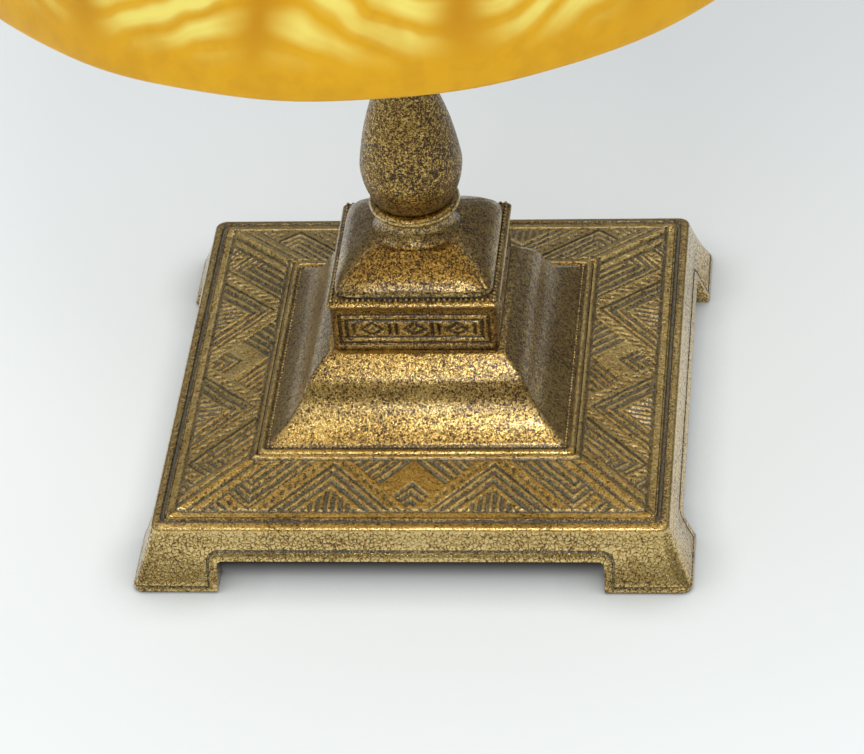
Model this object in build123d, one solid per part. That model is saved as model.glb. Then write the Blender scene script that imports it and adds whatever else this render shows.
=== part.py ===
from build123d import *
import os
from math import acos, atan2, cos, degrees, radians, sin, sqrt

os.makedirs("parts", exist_ok=True)

# Table lamp: square cast base on bracket feet, baluster stem, keyed socket, harp and glass dome shade.
# Millimetres, +Z up, origin on the table under the stem. The front faces -Y.

# Fits
running_clearance = 0.08  # radial, a shaft that turns or slides in a hole
thread_clearance = 0.06  # radial, a thread drawn plain
slip_clearance = 0.10  # radial, a fixed piece slipped over another
overcut = 1.0  # how far a cutting shape runs past the face it cuts
free_clearance = 0.40  # between round faces that only pass each other

# Base casting
foot_half = 82.2  # half width over the feet, at the table
plate_half = 76.0  # half width at the edge of the sloping plate
plate_edge_z = 19.4
skirt_bow = 0.4  # hollow of the flared skirt
notch_half = 56.8  # half of the gap between two feet
notch_height = 9.4
notch_radius = 1.6
band_inner_half = 45.0  # half width at the upper end of the sloping band
band_rise = 4.8
quirk_width = 1.8  # small step between the band and the ogee
quirk_rise = 0.9
ogee_hollow_run = 8.4  # the hollow lower half of the ogee
ogee_hollow_rise = 8.4
ogee_hollow_bow = 1.1
ogee_round_run = 8.4  # the rounded upper half of the ogee
ogee_round_rise = 11.7
ogee_round_bow = 1.0
casting_wall = 4.2
corner_cut = 1.1  # how far each plan corner is cut back along its diagonal
field_outer_half = 71.4  # ornament field on the band, sunk below its borders
field_inner_half = 47.4
field_depth = 0.9
border_groove_half = 73.2
border_groove_width = 1.0

# Pedestal block
block_half = 24.7
block_face_height = 15.4
ledge_overhang = 1.0
ledge_height = 2.6
ledge_bow = 0.4
ledge_quirk = 0.8
pillow_half = 23.6
pillow_rise = 10.6
pillow_bow = 1.8
pillow_top_half = 14.4
frieze_width = 45.2
frieze_height = 11.4
frieze_depth = 0.7

# Stem
collar_radius = 13.5
collar_height = 10.6
collar_bead_height = 3.8
collar_foot_radius = 13.6
collar_neck_radius = 12.0
collar_hollow_bow = 0.6
stem_foot_radius = 12.3
belly_radius = 15.0
belly_rise = 10.2  # height of the widest point over the stem's foot
shoulder_radius = 10.2
shoulder_rise = 33.0
neck_radius = 7.0
neck_rise = 49.0
stem_height = 55.0
stem_cap_radius = 15.0
stem_cap_height = 11.0
stem_cap_rim = 2.4
stem_cap_lip = 1.0  # step of the cap's foot past the stem's neck

# Tie pipe with its fastenings
pipe_radius = 4.9
pipe_bore_radius = 3.3
pipe_below_nut = 1.6
pipe_into_cap = 5.0
locknut_across_flats = 18.0
locknut_height = 4.6
washer_radius = 15.0
washer_thickness = 2.0
weight_half = 22.0
weight_height = 20.0
weight_slot_width = 7.0
wire_radius = 1.1
wire_spacing = 2.8

# Cord bush, in the rear skirt
bush_z = 13.8
bush_radius = 3.2
bush_bore_radius = 2.4
bush_flange_radius = 4.2
bush_flange_thickness = 1.4
bush_length = 9.0
bush_seat_depth = 0.5  # of the spot face, under the deepest point of the skirt's bow

# Harp
saddle_half_span = 31.0  # stem axis to the axis of a harp leg
saddle_width = 14.0
saddle_thickness = 1.6
cup_radius = 3.2
cup_height = 12.0
cup_floor = 2.0
harp_wire_radius = 1.6
harp_half_width = 50.0
harp_leg_height = 29.0  # straight leg over the saddle
harp_shoulder_radius = 40.0  # of the two bends that widen the harp
harp_rise = 152.9  # saddle to the wire's top, on its axis
harp_plate_radius = 6.5
harp_plate_thickness = 2.6
stud_radius = 3.05
stud_head_thickness = 1.4
stud_flange_radius = 6.0
stud_flange_thickness = 1.6
stud_length = 33.0
ferrule_radius = 4.5
ferrule_skirt = 8.0
ferrule_cap = 4.0

# Socket and switch
socket_hub_radius = 8.0
socket_hub_height = 4.0
socket_cap_radius = 17.2
socket_cap_height = 18.0
socket_cap_wall = 1.0
socket_ledge_radius = 11.0  # inner edge of the ledge that carries the shell and the body
shell_wall = 0.8
shell_height = 46.0
shell_lap = 5.0  # how far the shell goes down into the cap
shell_bead = 0.9
liner_wall = 0.8
body_height = 15.0
screw_shell_wall = 0.5
screw_shell_height = 25.0
contact_radius = 3.2
contact_height = 1.4
terminal_head_radius = 2.4
terminal_head_height = 1.5
terminal_shank_radius = 1.3
terminal_shank_length = 4.0
spindle_radius = 1.8
spindle_rise = 7.0  # spindle axis over the underside of the socket body
spindle_depth = 6.0  # how far the spindle goes into the body
spindle_reach = 13.0  # spindle outside the shell
key_length = 15.0
key_width = 9.0
key_thickness = 2.6

# Bulb
bulb_cap_radius = 13.0
bulb_cap_wall = 0.5
bulb_cap_height = 22.0
bulb_gap = 0.3  # bulb contact over the centre contact, when screwed home
bulb_contact_radius = 4.5
bulb_contact_height = 1.0
bulb_insulator_height = 2.6
envelope_neck_radius = 12.2
envelope_wall = 0.8
envelope_radius = 30.0
envelope_neck_rise = 8.0  # straight neck over the bulb cap's edge
envelope_flare_rise = 22.0
bulb_stem_radius = 6.0
bulb_stem_height = 30.0
bulb_lead_radius = 0.5
bulb_lead_spread = 9.0
bulb_lead_length = 26.0
filament_radius = 0.35

# Shade
shade_radius = 126.8
shade_wall = 4.0
shade_side_radius = 110.0  # arc of the dome's side
shade_side_turn = 60.0  # degrees
shade_crown_radius = 140.0  # arc of the dome's crown
shade_ledge_radius = 36.0  # flat ledge at the top of the glass
shade_hole_radius = 25.0
seat_radius = 33.0
seat_thickness = 1.6
seat_vents = 6
seat_vent_radius = 4.5
seat_vent_circle = 15.0
gasket_thickness = 1.2
heat_cap_radius = 38.0
heat_cap_lip = 2.0
heat_cap_rise = 11.0
heat_cap_bow = 3.0
heat_cap_wall = 1.6
heat_cap_hub_radius = 8.0
heat_cap_hub_height = 1.8
heat_cap_vents = 12
heat_cap_vent_radius = 2.2
heat_cap_vent_circle = 21.0

# Finial
finial_foot_radius = 6.6
finial_foot_height = 3.0
finial_neck_radius = 4.6
finial_neck_rise = 8.0
finial_ball_radius = 8.6
finial_tip_height = 4.0

# Heights worked out from the sizes above
band_top_z = plate_edge_z + band_rise
ogee_foot_half = band_inner_half - quirk_width
ogee_foot_z = band_top_z + quirk_rise
waist_half = ogee_foot_half - ogee_hollow_run
waist_z = ogee_foot_z + ogee_hollow_rise
crown_half = waist_half - ogee_round_run
base_top_z = waist_z + ogee_round_rise
ledge_z = base_top_z + block_face_height
pillow_z = ledge_z + ledge_height + ledge_quirk
block_top_z = pillow_z + pillow_rise
stem_foot_z = block_top_z + collar_height
stem_top_z = stem_foot_z + stem_height
saddle_z = stem_top_z + stem_cap_height
saddle_top_z = saddle_z + saddle_thickness
weight_top_z = base_top_z - casting_wall
washer_top_z = weight_top_z - weight_height
locknut_top_z = washer_top_z - washer_thickness
pipe_bottom_z = locknut_top_z - locknut_height - pipe_below_nut
pipe_top_z = saddle_top_z + pipe_into_cap
cup_top_z = saddle_top_z + cup_height
shell_foot_z = saddle_top_z + socket_cap_height - shell_lap
body_top_z = shell_foot_z + body_height
shell_top_z = shell_foot_z + shell_height
spindle_z = shell_foot_z + spindle_rise
shell_radius = socket_cap_radius - socket_cap_wall - slip_clearance
liner_radius = shell_radius - shell_wall - slip_clearance
body_radius = liner_radius - liner_wall - slip_clearance
screw_shell_bore = bulb_cap_radius + free_clearance
bulb_foot_z = body_top_z + contact_height + bulb_gap
bulb_cap_z = bulb_foot_z + bulb_contact_height + bulb_insulator_height
bulb_cap_top_z = bulb_cap_z + bulb_cap_height
harp_top_z = saddle_top_z + harp_rise
harp_plate_top_z = harp_top_z + harp_plate_thickness / 2
seat_z = harp_plate_top_z + stud_flange_thickness
glass_ledge_z = seat_z + seat_thickness + gasket_thickness
glass_top_z = glass_ledge_z + shade_wall
heat_cap_z = glass_top_z + gasket_thickness
finial_z = heat_cap_z + heat_cap_lip + heat_cap_rise + heat_cap_hub_height
pipe_hole_radius = pipe_radius + slip_clearance
stud_hole_radius = stud_radius + running_clearance


def save(node, shape):
    """Write one node of the lamp."""
    export_step(shape, f"parts/{node}.step")


def stand_off(start, end, bow):
    """Middle of an arc from start to end that stands off its chord by bow, to the left."""
    run = end[0] - start[0]
    rise = end[1] - start[1]
    chord = sqrt(run * run + rise * rise)
    return ((start[0] + end[0]) / 2 - rise / chord * bow, (start[1] + end[1]) / 2 + run / chord * bow)


def stretch(start, end, bow, spread=1.0, trim=0.0):
    """One edge of a moulding, its half widths spread and trimmed for a cut across the corners."""
    points = [start, end] if bow == 0 else [start, stand_off(start, end, bow), end]
    placed = [(half * spread - trim, height) for half, height in points]
    return Line(*placed) if bow == 0 else ThreePointArc(*placed)


def moulding_prism(rows, reach, spread=1.0, trim=0.0):
    """Prism along Y of a moulding's full section. A row is (half width, height, bow of the edge to it)."""
    right = [stretch(low[:2], high[:2], high[2], spread, trim) for low, high in zip(rows, rows[1:])]
    left = [mirror(edge, Plane.YZ) for edge in right]
    foot = Line(left[0] @ 0, right[0] @ 0)
    head = Line(right[-1] @ 1, left[-1] @ 1)
    return extrude(Plane.XZ * make_face(right + left + [foot, head]), reach, both=True)


def square_moulding(rows, reach, cut=0.0):
    """Square-plan turned form: the same moulding on four sides, mitred, with cut corners."""
    prism = moulding_prism(rows, reach)
    form = prism & Rot(0, 0, 90) * prism
    if cut > 0:
        diagonal = moulding_prism(rows, reach * 2, sqrt(2), cut)
        form = form & Rot(0, 0, 45) * diagonal & Rot(0, 0, 135) * diagonal
    return form


def square_ring(outer, inner, low, high):
    """Upright square tube given by its half widths and heights."""
    height = high - low
    ring = Box(2 * outer, 2 * outer, height) - Box(2 * inner, 2 * inner, height)
    return Pos(0, 0, (low + high) / 2) * ring


def turned(edges):
    """Solid turned about the stem axis from edges given as (radius, height)."""
    return revolve(Plane.XZ * make_face(edges), Axis.Z)


def turned_outline(points):
    """Solid turned from a closed outline of straight edges."""
    return turned(Polyline(*points, close=True))


def tube(outer, inner, low, high):
    """Round tube on the stem axis."""
    return Pos(0, 0, (low + high) / 2) * (Cylinder(outer, high - low) - Cylinder(inner, high - low))


def disc(radius, low, high):
    """Round solid on the stem axis."""
    return Pos(0, 0, (low + high) / 2) * Cylinder(radius, high - low)


def bush_place():
    """Place of the cord bush: square to the rear skirt, its flange seated just under the skirt's face."""
    skirt_spread = foot_half - plate_half
    skirt_y = foot_half - skirt_spread * bush_z / plate_edge_z
    lean = degrees(atan2(skirt_spread, plate_edge_z))
    return Pos(0, skirt_y, bush_z) * Rot(lean - 90, 0, 0) * Pos(0, 0, -skirt_bow - bush_seat_depth)


def base_casting():
    """Hollow cast base: flared skirt, sloping band, ogee, and the notches that leave four bracket feet."""
    rows = [
        (foot_half, 0, 0),
        (plate_half, plate_edge_z, skirt_bow),
        (band_inner_half, band_top_z, 0),
        (ogee_foot_half, ogee_foot_z, 0),
        (waist_half, waist_z, ogee_hollow_bow),
        (crown_half, base_top_z, -ogee_round_bow),
    ]
    outer = square_moulding(rows, 2 * foot_half, corner_cut)
    hollow_rows = [
        (plate_half - casting_wall, -overcut, 0),
        (plate_half - casting_wall, plate_edge_z - casting_wall, 0),
        (ogee_foot_half - casting_wall, ogee_foot_z - casting_wall, 0),
        (waist_half - casting_wall, waist_z - casting_wall / 2, 0),
        (crown_half - casting_wall / 2, weight_top_z, 0),
    ]
    body = outer - square_moulding(hollow_rows, 2 * foot_half)
    notch_face = RectangleRounded(2 * notch_half, 2 * notch_height, notch_radius)
    notch = extrude(Plane.XZ * notch_face, 2 * foot_half, both=True)
    body -= [notch, Rot(0, 0, 90) * notch]
    skin = outer - Pos(0, 0, -field_depth) * outer
    groove_inner_half = border_groove_half - border_groove_width
    field = square_ring(field_outer_half, field_inner_half, 0, base_top_z) & skin
    groove = square_ring(border_groove_half, groove_inner_half, 0, base_top_z) & skin
    body -= [field, groove]
    body -= disc(pipe_hole_radius, weight_top_z - overcut, base_top_z + overcut)
    bush_hole = Pos(0, 0, -bush_length / 2) * Cylinder(bush_radius + slip_clearance, bush_length)
    seat_radius_cut = bush_flange_radius + slip_clearance
    bush_seat = Pos(0, 0, bush_flange_thickness) * Cylinder(seat_radius_cut, 2 * bush_flange_thickness)
    return body - bush_place() * (bush_hole + bush_seat)


def base_weight():
    """Iron block under the crown, with a slot that leads the wires to the pipe."""
    block = Box(2 * weight_half, 2 * weight_half, weight_height)
    slot_bar = Box(weight_slot_width, 2 * weight_half, weight_slot_width)
    slot = Pos(0, weight_half, -weight_height / 2) * slot_bar
    return Pos(0, 0, weight_top_z - weight_height / 2) * (block - slot) - disc(
        pipe_hole_radius, washer_top_z - overcut, weight_top_z + overcut
    )


def foot_locknut():
    """Hexagon nut that draws the whole column down on the base."""
    flats = locknut_across_flats / 2
    bore = pipe_radius + thread_clearance
    nut = extrude(RegularPolygon(flats, 6, major_radius=False) - Circle(bore), locknut_height)
    return Pos(0, 0, locknut_top_z - locknut_height) * nut


def cord_bush():
    """Flanged bush through the rear skirt, where a lead would enter."""
    shank = Pos(0, 0, -bush_length / 2) * Cylinder(bush_radius, bush_length)
    flange = Pos(0, 0, bush_flange_thickness / 2) * Cylinder(bush_flange_radius, bush_flange_thickness)
    bush = shank + flange - Cylinder(bush_bore_radius, 4 * bush_length)
    return bush_place() * bush


def pedestal_block():
    """Square block with a sunk frieze on each face, a rounded ledge and a pillow top."""
    ledge_half = block_half + ledge_overhang
    rows = [
        (block_half, base_top_z, 0),
        (block_half, ledge_z, 0),
        (ledge_half, ledge_z + ledge_overhang, 0),
        (pillow_half, ledge_z + ledge_height, -ledge_bow),
        (pillow_half - ledge_quirk, ledge_z + ledge_height, 0),
        (pillow_half, pillow_z, 0),
        (pillow_top_half, block_top_z, -pillow_bow),
    ]
    block = square_moulding(rows, 2 * block_half, corner_cut)
    frieze_z = base_top_z + block_face_height / 2
    sunk = Pos(0, -block_half, frieze_z) * Box(frieze_width, 2 * frieze_depth, frieze_height)
    block -= [Rot(0, 0, 90 * side) * sunk for side in range(4)]
    return block - disc(pipe_hole_radius, base_top_z - overcut, block_top_z + overcut)


def stem_collar():
    """Hollow neck on the pillow, with a half-round ring under the baluster."""
    bead_foot_z = stem_foot_z - collar_bead_height
    foot = (collar_foot_radius, block_top_z)
    neck = (collar_neck_radius, bead_foot_z)
    crown = (collar_neck_radius, stem_foot_z)
    edges = [
        Line((pipe_hole_radius, block_top_z), foot),
        ThreePointArc(foot, stand_off(foot, neck, collar_hollow_bow), neck),
        ThreePointArc(neck, (collar_radius, bead_foot_z + collar_bead_height / 2), crown),
        Line(crown, (pipe_hole_radius, stem_foot_z)),
        Line((pipe_hole_radius, stem_foot_z), (pipe_hole_radius, block_top_z)),
    ]
    return turned(edges)


def stem_baluster():
    """Vase-shaped stem, bored for the tie pipe."""
    points = [
        (stem_foot_radius, stem_foot_z),
        (belly_radius, stem_foot_z + belly_rise),
        (shoulder_radius, stem_foot_z + shoulder_rise),
        (neck_radius, stem_foot_z + neck_rise),
        (neck_radius, stem_top_z),
    ]
    side = Spline(*points[:4], tangents=[(0.5, 1), (0, 1)])
    edges = [
        Line((pipe_hole_radius, stem_foot_z), points[0]),
        side,
        Line(points[3], points[4]),
        Line(points[4], (pipe_hole_radius, stem_top_z)),
        Line((pipe_hole_radius, stem_top_z), (pipe_hole_radius, stem_foot_z)),
    ]
    return turned(edges)


def stem_cap():
    """Flared cup on top of the stem, which carries the saddle."""
    rim_z = saddle_z - stem_cap_rim
    flare_start = (neck_radius + stem_cap_lip, stem_top_z)
    flare_end = (stem_cap_radius, rim_z)
    edges = [
        Line((pipe_hole_radius, stem_top_z), flare_start),
        ThreePointArc(flare_start, stand_off(flare_start, flare_end, stem_cap_rim), flare_end),
        Line(flare_end, (stem_cap_radius, saddle_z)),
        Line((stem_cap_radius, saddle_z), (pipe_hole_radius, saddle_z)),
        Line((pipe_hole_radius, saddle_z), (pipe_hole_radius, stem_top_z)),
    ]
    return turned(edges)


def wire_pair():
    """Two insulated wires up the pipe to the underside of the socket body."""
    length = shell_foot_z - pipe_bottom_z
    wire = Pos(wire_spacing / 2, 0, pipe_bottom_z + length / 2) * Cylinder(wire_radius, length)
    return Compound(children=[wire, mirror(wire, Plane.YZ)])


def harp_saddle():
    """Strip with two upright cups that take the harp's legs."""
    ends = Pos(0, 0, saddle_z) * SlotOverall(2 * (saddle_half_span + saddle_width / 2), saddle_width)
    pipe_hole = disc(pipe_hole_radius, saddle_z - overcut, saddle_top_z + overcut)
    strip = extrude(ends, saddle_thickness) - pipe_hole
    cup = Pos(0, 0, cup_height / 2) * Cylinder(cup_radius, cup_height)
    bore = Pos(0, 0, cup_floor + cup_height / 2) * Cylinder(harp_wire_radius + running_clearance, cup_height)
    for side in (-1, 1):
        strip += Pos(side * saddle_half_span, 0, saddle_top_z) * (cup - bore)
    return strip


def harp_path():
    """Right half of the harp's centre line, from the foot of its leg to the top."""
    foot = (saddle_half_span, saddle_top_z + cup_floor)
    leg_top = (saddle_half_span, saddle_top_z + harp_leg_height)
    widening = harp_half_width - saddle_half_span
    turn = acos(1 - widening / (2 * harp_shoulder_radius))
    bend_out = CenterArc(
        (leg_top[0] + harp_shoulder_radius, leg_top[1]), harp_shoulder_radius, 180, -degrees(turn)
    )
    bend_in_z = leg_top[1] + 2 * harp_shoulder_radius * sin(turn)
    bend_in_centre = (harp_half_width - harp_shoulder_radius, bend_in_z)
    bend_in = CenterArc(bend_in_centre, harp_shoulder_radius, -degrees(turn), degrees(turn))
    arch_z = harp_top_z - harp_half_width
    arch = CenterArc((0, arch_z), harp_half_width, 0, 90)
    side = Line((harp_half_width, bend_in_z), (harp_half_width, arch_z))
    return [Line(foot, leg_top), bend_out, bend_in, side, arch]


def harp_loop():
    """Wire loop round the bulb, with a pierced plate at its top."""
    right = Wire([Plane.XZ * edge for edge in harp_path()])
    section = Plane(right @ 0, z_dir=right % 0) * Circle(harp_wire_radius)
    half = sweep(section, right)
    plate = disc(harp_plate_radius, harp_top_z - harp_plate_thickness / 2, harp_plate_top_z)
    low_z = harp_top_z - harp_plate_radius
    high_z = harp_top_z + harp_plate_radius
    stud_hole = disc(stud_radius + slip_clearance, low_z, high_z)
    clear_above = disc(harp_plate_radius, harp_plate_top_z, high_z)
    clear_below = disc(harp_plate_radius, low_z, harp_top_z - harp_plate_thickness / 2)
    return half + mirror(half, Plane.YZ) + plate - [stud_hole, clear_above, clear_below]


def harp_stud():
    """Riveted stud: head under the plate, flange over it, and the threaded end that carries the shade."""
    plate_foot_z = harp_top_z - harp_plate_thickness / 2
    head = disc(stud_flange_radius, plate_foot_z - stud_head_thickness, plate_foot_z)
    flange = disc(stud_flange_radius, harp_plate_top_z, seat_z)
    return head + flange + disc(stud_radius, plate_foot_z - stud_head_thickness, seat_z + stud_length)


def harp_ferrule(side):
    """Sleeve that drops over a cup to lock the harp's leg."""
    bore = cup_radius + free_clearance
    wire_hole = harp_wire_radius + running_clearance
    top_z = cup_top_z + ferrule_cap
    outline = [
        (bore, cup_top_z - ferrule_skirt),
        (ferrule_radius, cup_top_z - ferrule_skirt),
        (ferrule_radius, top_z - ferrule_cap / 2),
        (ferrule_radius - ferrule_cap / 2, top_z),
        (wire_hole, top_z),
        (wire_hole, cup_top_z),
        (bore, cup_top_z),
    ]
    return Pos(side * saddle_half_span, 0, 0) * turned_outline(outline)


def socket_cap():
    """Bell-shaped cup screwed on the pipe, which clamps the saddle."""
    rim_z = saddle_top_z + socket_cap_height
    hub_z = saddle_top_z + socket_hub_height
    side_z = shell_foot_z - socket_cap_wall
    bore = pipe_radius + thread_clearance
    inner = socket_cap_radius - socket_cap_wall
    outline = [
        (bore, saddle_top_z),
        (socket_hub_radius, saddle_top_z),
        (socket_hub_radius, hub_z),
        (socket_cap_radius, side_z),
        (socket_cap_radius, rim_z),
        (inner, rim_z),
        (inner, shell_foot_z),
        (socket_ledge_radius, shell_foot_z),
        (socket_hub_radius - socket_cap_wall, hub_z + socket_cap_wall),
        (bore, hub_z + socket_cap_wall),
    ]
    return turned_outline(outline)


def spindle_bore(radius):
    """Cutter along the switch spindle, from its inner end out to the front."""
    length = 4 * socket_cap_radius
    inner_y = spindle_depth - body_radius
    return Pos(0, inner_y - length / 2, spindle_z) * Rot(90, 0, 0) * Cylinder(radius, length)


def socket_shell():
    """Thin outer shell with a beaded mouth and a hole for the switch spindle."""
    inner = shell_radius - shell_wall
    bead = shell_radius + shell_bead
    bead_z = shell_top_z - 2 * shell_bead
    edges = [
        Line((inner, shell_foot_z), (shell_radius, shell_foot_z)),
        Line((shell_radius, shell_foot_z), (shell_radius, bead_z)),
        ThreePointArc((shell_radius, bead_z), (bead, shell_top_z - shell_bead), (shell_radius, shell_top_z)),
        Line((shell_radius, shell_top_z), (inner, shell_top_z)),
        Line((inner, shell_top_z), (inner, shell_foot_z)),
    ]
    return turned(edges) - spindle_bore(spindle_radius + free_clearance)


def shell_liner():
    """Insulating sleeve inside the shell."""
    sleeve = tube(liner_radius, liner_radius - liner_wall, shell_foot_z, shell_top_z - 2 * shell_bead)
    return sleeve - spindle_bore(spindle_radius + free_clearance)


def terminal_places():
    """Places of the two terminal screws, on the sides of the socket body."""
    return [Pos(side * body_radius, 0, spindle_z) * Rot(0, side * 90, 0) for side in (-1, 1)]


def socket_body():
    """Porcelain block that holds the contacts and the switch."""
    body = disc(body_radius, shell_foot_z, body_top_z) - spindle_bore(spindle_radius + running_clearance)
    pocket = Cylinder(terminal_head_radius + slip_clearance, 4 * terminal_head_height)
    hole_reach = 2 * terminal_head_height + terminal_shank_length
    hole = Cylinder(terminal_shank_radius + slip_clearance, 2 * hole_reach)
    return body - [place * (pocket + hole) for place in terminal_places()]


def terminal_screws():
    """Two binding screws sunk in the socket body."""
    head = Pos(0, 0, -terminal_head_height * 1.5) * Cylinder(terminal_head_radius, terminal_head_height)
    shank_low = -2 * terminal_head_height - terminal_shank_length / 2
    shank = Pos(0, 0, shank_low) * Cylinder(terminal_shank_radius, terminal_shank_length)
    return Compound(children=[place * (head + shank) for place in terminal_places()])


def screw_shell():
    """Brass sleeve that takes the bulb's thread, drawn plain."""
    outer = screw_shell_bore + screw_shell_wall
    return tube(outer, screw_shell_bore, body_top_z, body_top_z + screw_shell_height)


def centre_contact():
    """Contact button in the middle of the socket."""
    return disc(contact_radius, body_top_z, body_top_z + contact_height)


def on_spindle(shape, distance):
    """Place a shape made along Z on the spindle axis, at a distance in front of the spindle's inner end."""
    return Pos(0, spindle_depth - body_radius - distance, spindle_z) * Rot(90, 0, 0) * shape


def spindle_length():
    """Length of the switch spindle, from inside the body to inside the key."""
    return shell_radius + spindle_reach + spindle_depth - body_radius


def switch_spindle():
    """Round spindle of the turn switch."""
    length = spindle_length()
    return on_spindle(Cylinder(spindle_radius, length), length / 2)


def switch_key():
    """Flat thumb key on the end of the spindle, with a round boss."""
    length = spindle_length()
    paddle = extrude(SlotOverall(key_length, key_width, rotation=90), key_thickness / 2, both=True)
    grip = Rot(90, 0, 0) * paddle
    boss_length = key_length / 2
    boss = Cylinder(spindle_radius + key_thickness / 2, boss_length)
    key = grip + Pos(0, 0, -boss_length / 2) * boss
    bore = Pos(0, 0, -boss_length / 2) * Cylinder(spindle_radius + slip_clearance, boss_length)
    return on_spindle(key - bore, length)


def bulb_cap():
    """Thin screw cap of the bulb, its thread drawn plain."""
    inner = bulb_cap_radius - bulb_cap_wall
    floor_z = bulb_cap_z + bulb_cap_wall
    return tube(bulb_cap_radius, inner, bulb_cap_z, bulb_cap_top_z) + tube(
        bulb_cap_radius, bulb_contact_radius, bulb_cap_z, floor_z
    )


def bulb_insulator():
    """Dark glass cone between the cap and the contact."""
    low = bulb_foot_z + bulb_contact_height
    wide = bulb_cap_radius - bulb_cap_wall
    return turned_outline([(0, low), (bulb_contact_radius, low), (wide, bulb_cap_z), (0, bulb_cap_z)])


def bulb_contact():
    """Solder button at the foot of the bulb."""
    return disc(bulb_contact_radius, bulb_foot_z, bulb_foot_z + bulb_contact_height)


def envelope_side(inset):
    """Edges of the pear-shaped envelope from its foot to its top, moved inwards by inset."""
    join = radians(35)
    neck = envelope_neck_radius - inset
    globe = envelope_radius - inset
    foot_z = bulb_cap_z + bulb_cap_height / 2
    neck_top_z = bulb_cap_top_z + envelope_neck_rise
    globe_z = neck_top_z + envelope_flare_rise + envelope_radius * sin(join)
    start = (globe * cos(join), globe_z - globe * sin(join))
    flare = Spline((neck, neck_top_z), start, tangents=[(0, 1), (sin(join), cos(join))])
    return [
        Line((neck, foot_z), (neck, neck_top_z)),
        flare,
        CenterArc((0, globe_z), globe, -degrees(join), 90 + degrees(join)),
    ]


def bulb_envelope():
    """Hollow glass envelope, open at the foot of its neck."""
    outer = envelope_side(0)
    inner = envelope_side(envelope_wall)
    foot = Line(inner[0] @ 0, outer[0] @ 0)
    head = Line(outer[-1] @ 1, inner[-1] @ 1)
    return turned(outer + inner + [foot, head])


def lead_tip_z():
    """Height where the filament meets the bulb's lead wires."""
    return bulb_cap_z + bulb_cap_wall + bulb_stem_height + bulb_lead_length


def bulb_leads():
    """Two wires from the glass stem out to the filament's ends."""
    foot_z = lead_tip_z() - bulb_lead_length - bulb_lead_radius * 4
    tip = (bulb_lead_spread, lead_tip_z() + bulb_lead_radius)
    path = Plane.XZ * Line((bulb_lead_radius * 2, foot_z), tip)
    wire = sweep(Plane(path @ 0, z_dir=path % 0) * Circle(bulb_lead_radius), path)
    wire &= disc(2 * bulb_lead_spread, foot_z - overcut, lead_tip_z())
    return Compound(children=[wire, mirror(wire, Plane.YZ)])


def bulb_stem():
    """Tapered glass stem inside the bulb, moulded round the lead wires."""
    low = bulb_cap_z + bulb_cap_wall
    tip = bulb_lead_radius * 6
    stem = turned_outline(
        [(0, low), (bulb_stem_radius, low), (tip, low + bulb_stem_height), (0, low + bulb_stem_height)]
    )
    return stem - bulb_leads()


def bulb_filament():
    """Hoop of filament between the lead wires."""
    tip_z = lead_tip_z()
    path = Plane.XZ * CenterArc((0, tip_z), bulb_lead_spread, 0, 180)
    return sweep(Plane(path @ 0, z_dir=path % 0) * Circle(filament_radius), path)


def shade_seat():
    """Vented disc on the harp's stud that carries the glass."""
    top = seat_z + seat_thickness
    plate = disc(seat_radius, seat_z, top) - disc(stud_hole_radius, seat_z - overcut, top + overcut)
    vent = disc(seat_vent_radius, seat_z - overcut, top + overcut)
    return plate - [spot * vent for spot in PolarLocations(seat_vent_circle, seat_vents)]


def seat_gasket():
    """Soft ring between the seat and the glass."""
    return tube(seat_radius, shade_hole_radius, seat_z + seat_thickness, glass_ledge_z)


def cap_gasket():
    """Soft ring between the glass and the heat cap."""
    return tube(shade_ledge_radius, shade_hole_radius, glass_top_z, heat_cap_z)


def glass_shade():
    """Blown dome: a side arc, a crown arc and a flat ledge round the top hole."""
    turn = radians(shade_side_turn)
    side_x = shade_radius - shade_side_radius
    crown_back = shade_crown_radius - shade_side_radius
    crown_x = side_x - crown_back * cos(turn)
    crown_drop = crown_back * sin(turn)
    dome_height = sqrt(shade_crown_radius**2 - (shade_ledge_radius - crown_x) ** 2) - crown_drop
    rim_z = glass_top_z - dome_height

    def wall_line(inset, top_z):
        """Side and crown arcs moved inwards by inset, up to a height."""
        crown = shade_crown_radius - inset
        crown_z = rim_z - crown_drop
        end_turn = degrees(acos(sqrt(crown**2 - (top_z - crown_z) ** 2) / crown))
        return [
            CenterArc((side_x, rim_z), shade_side_radius - inset, 0, shade_side_turn),
            CenterArc((crown_x, crown_z), crown, shade_side_turn, end_turn - shade_side_turn),
        ]

    outer = wall_line(0, glass_top_z)
    inner = wall_line(shade_wall, glass_ledge_z)
    rim_low = (shade_radius - shade_wall / 2, rim_z - shade_wall / 2)
    rim_round = ThreePointArc(inner[0] @ 0, rim_low, outer[0] @ 0)
    ledge = [
        Line(outer[1] @ 1, (shade_hole_radius, glass_top_z)),
        Line((shade_hole_radius, glass_top_z), (shade_hole_radius, glass_ledge_z)),
        Line((shade_hole_radius, glass_ledge_z), inner[1] @ 1),
    ]
    return turned(outer + inner + ledge + [rim_round])


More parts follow.
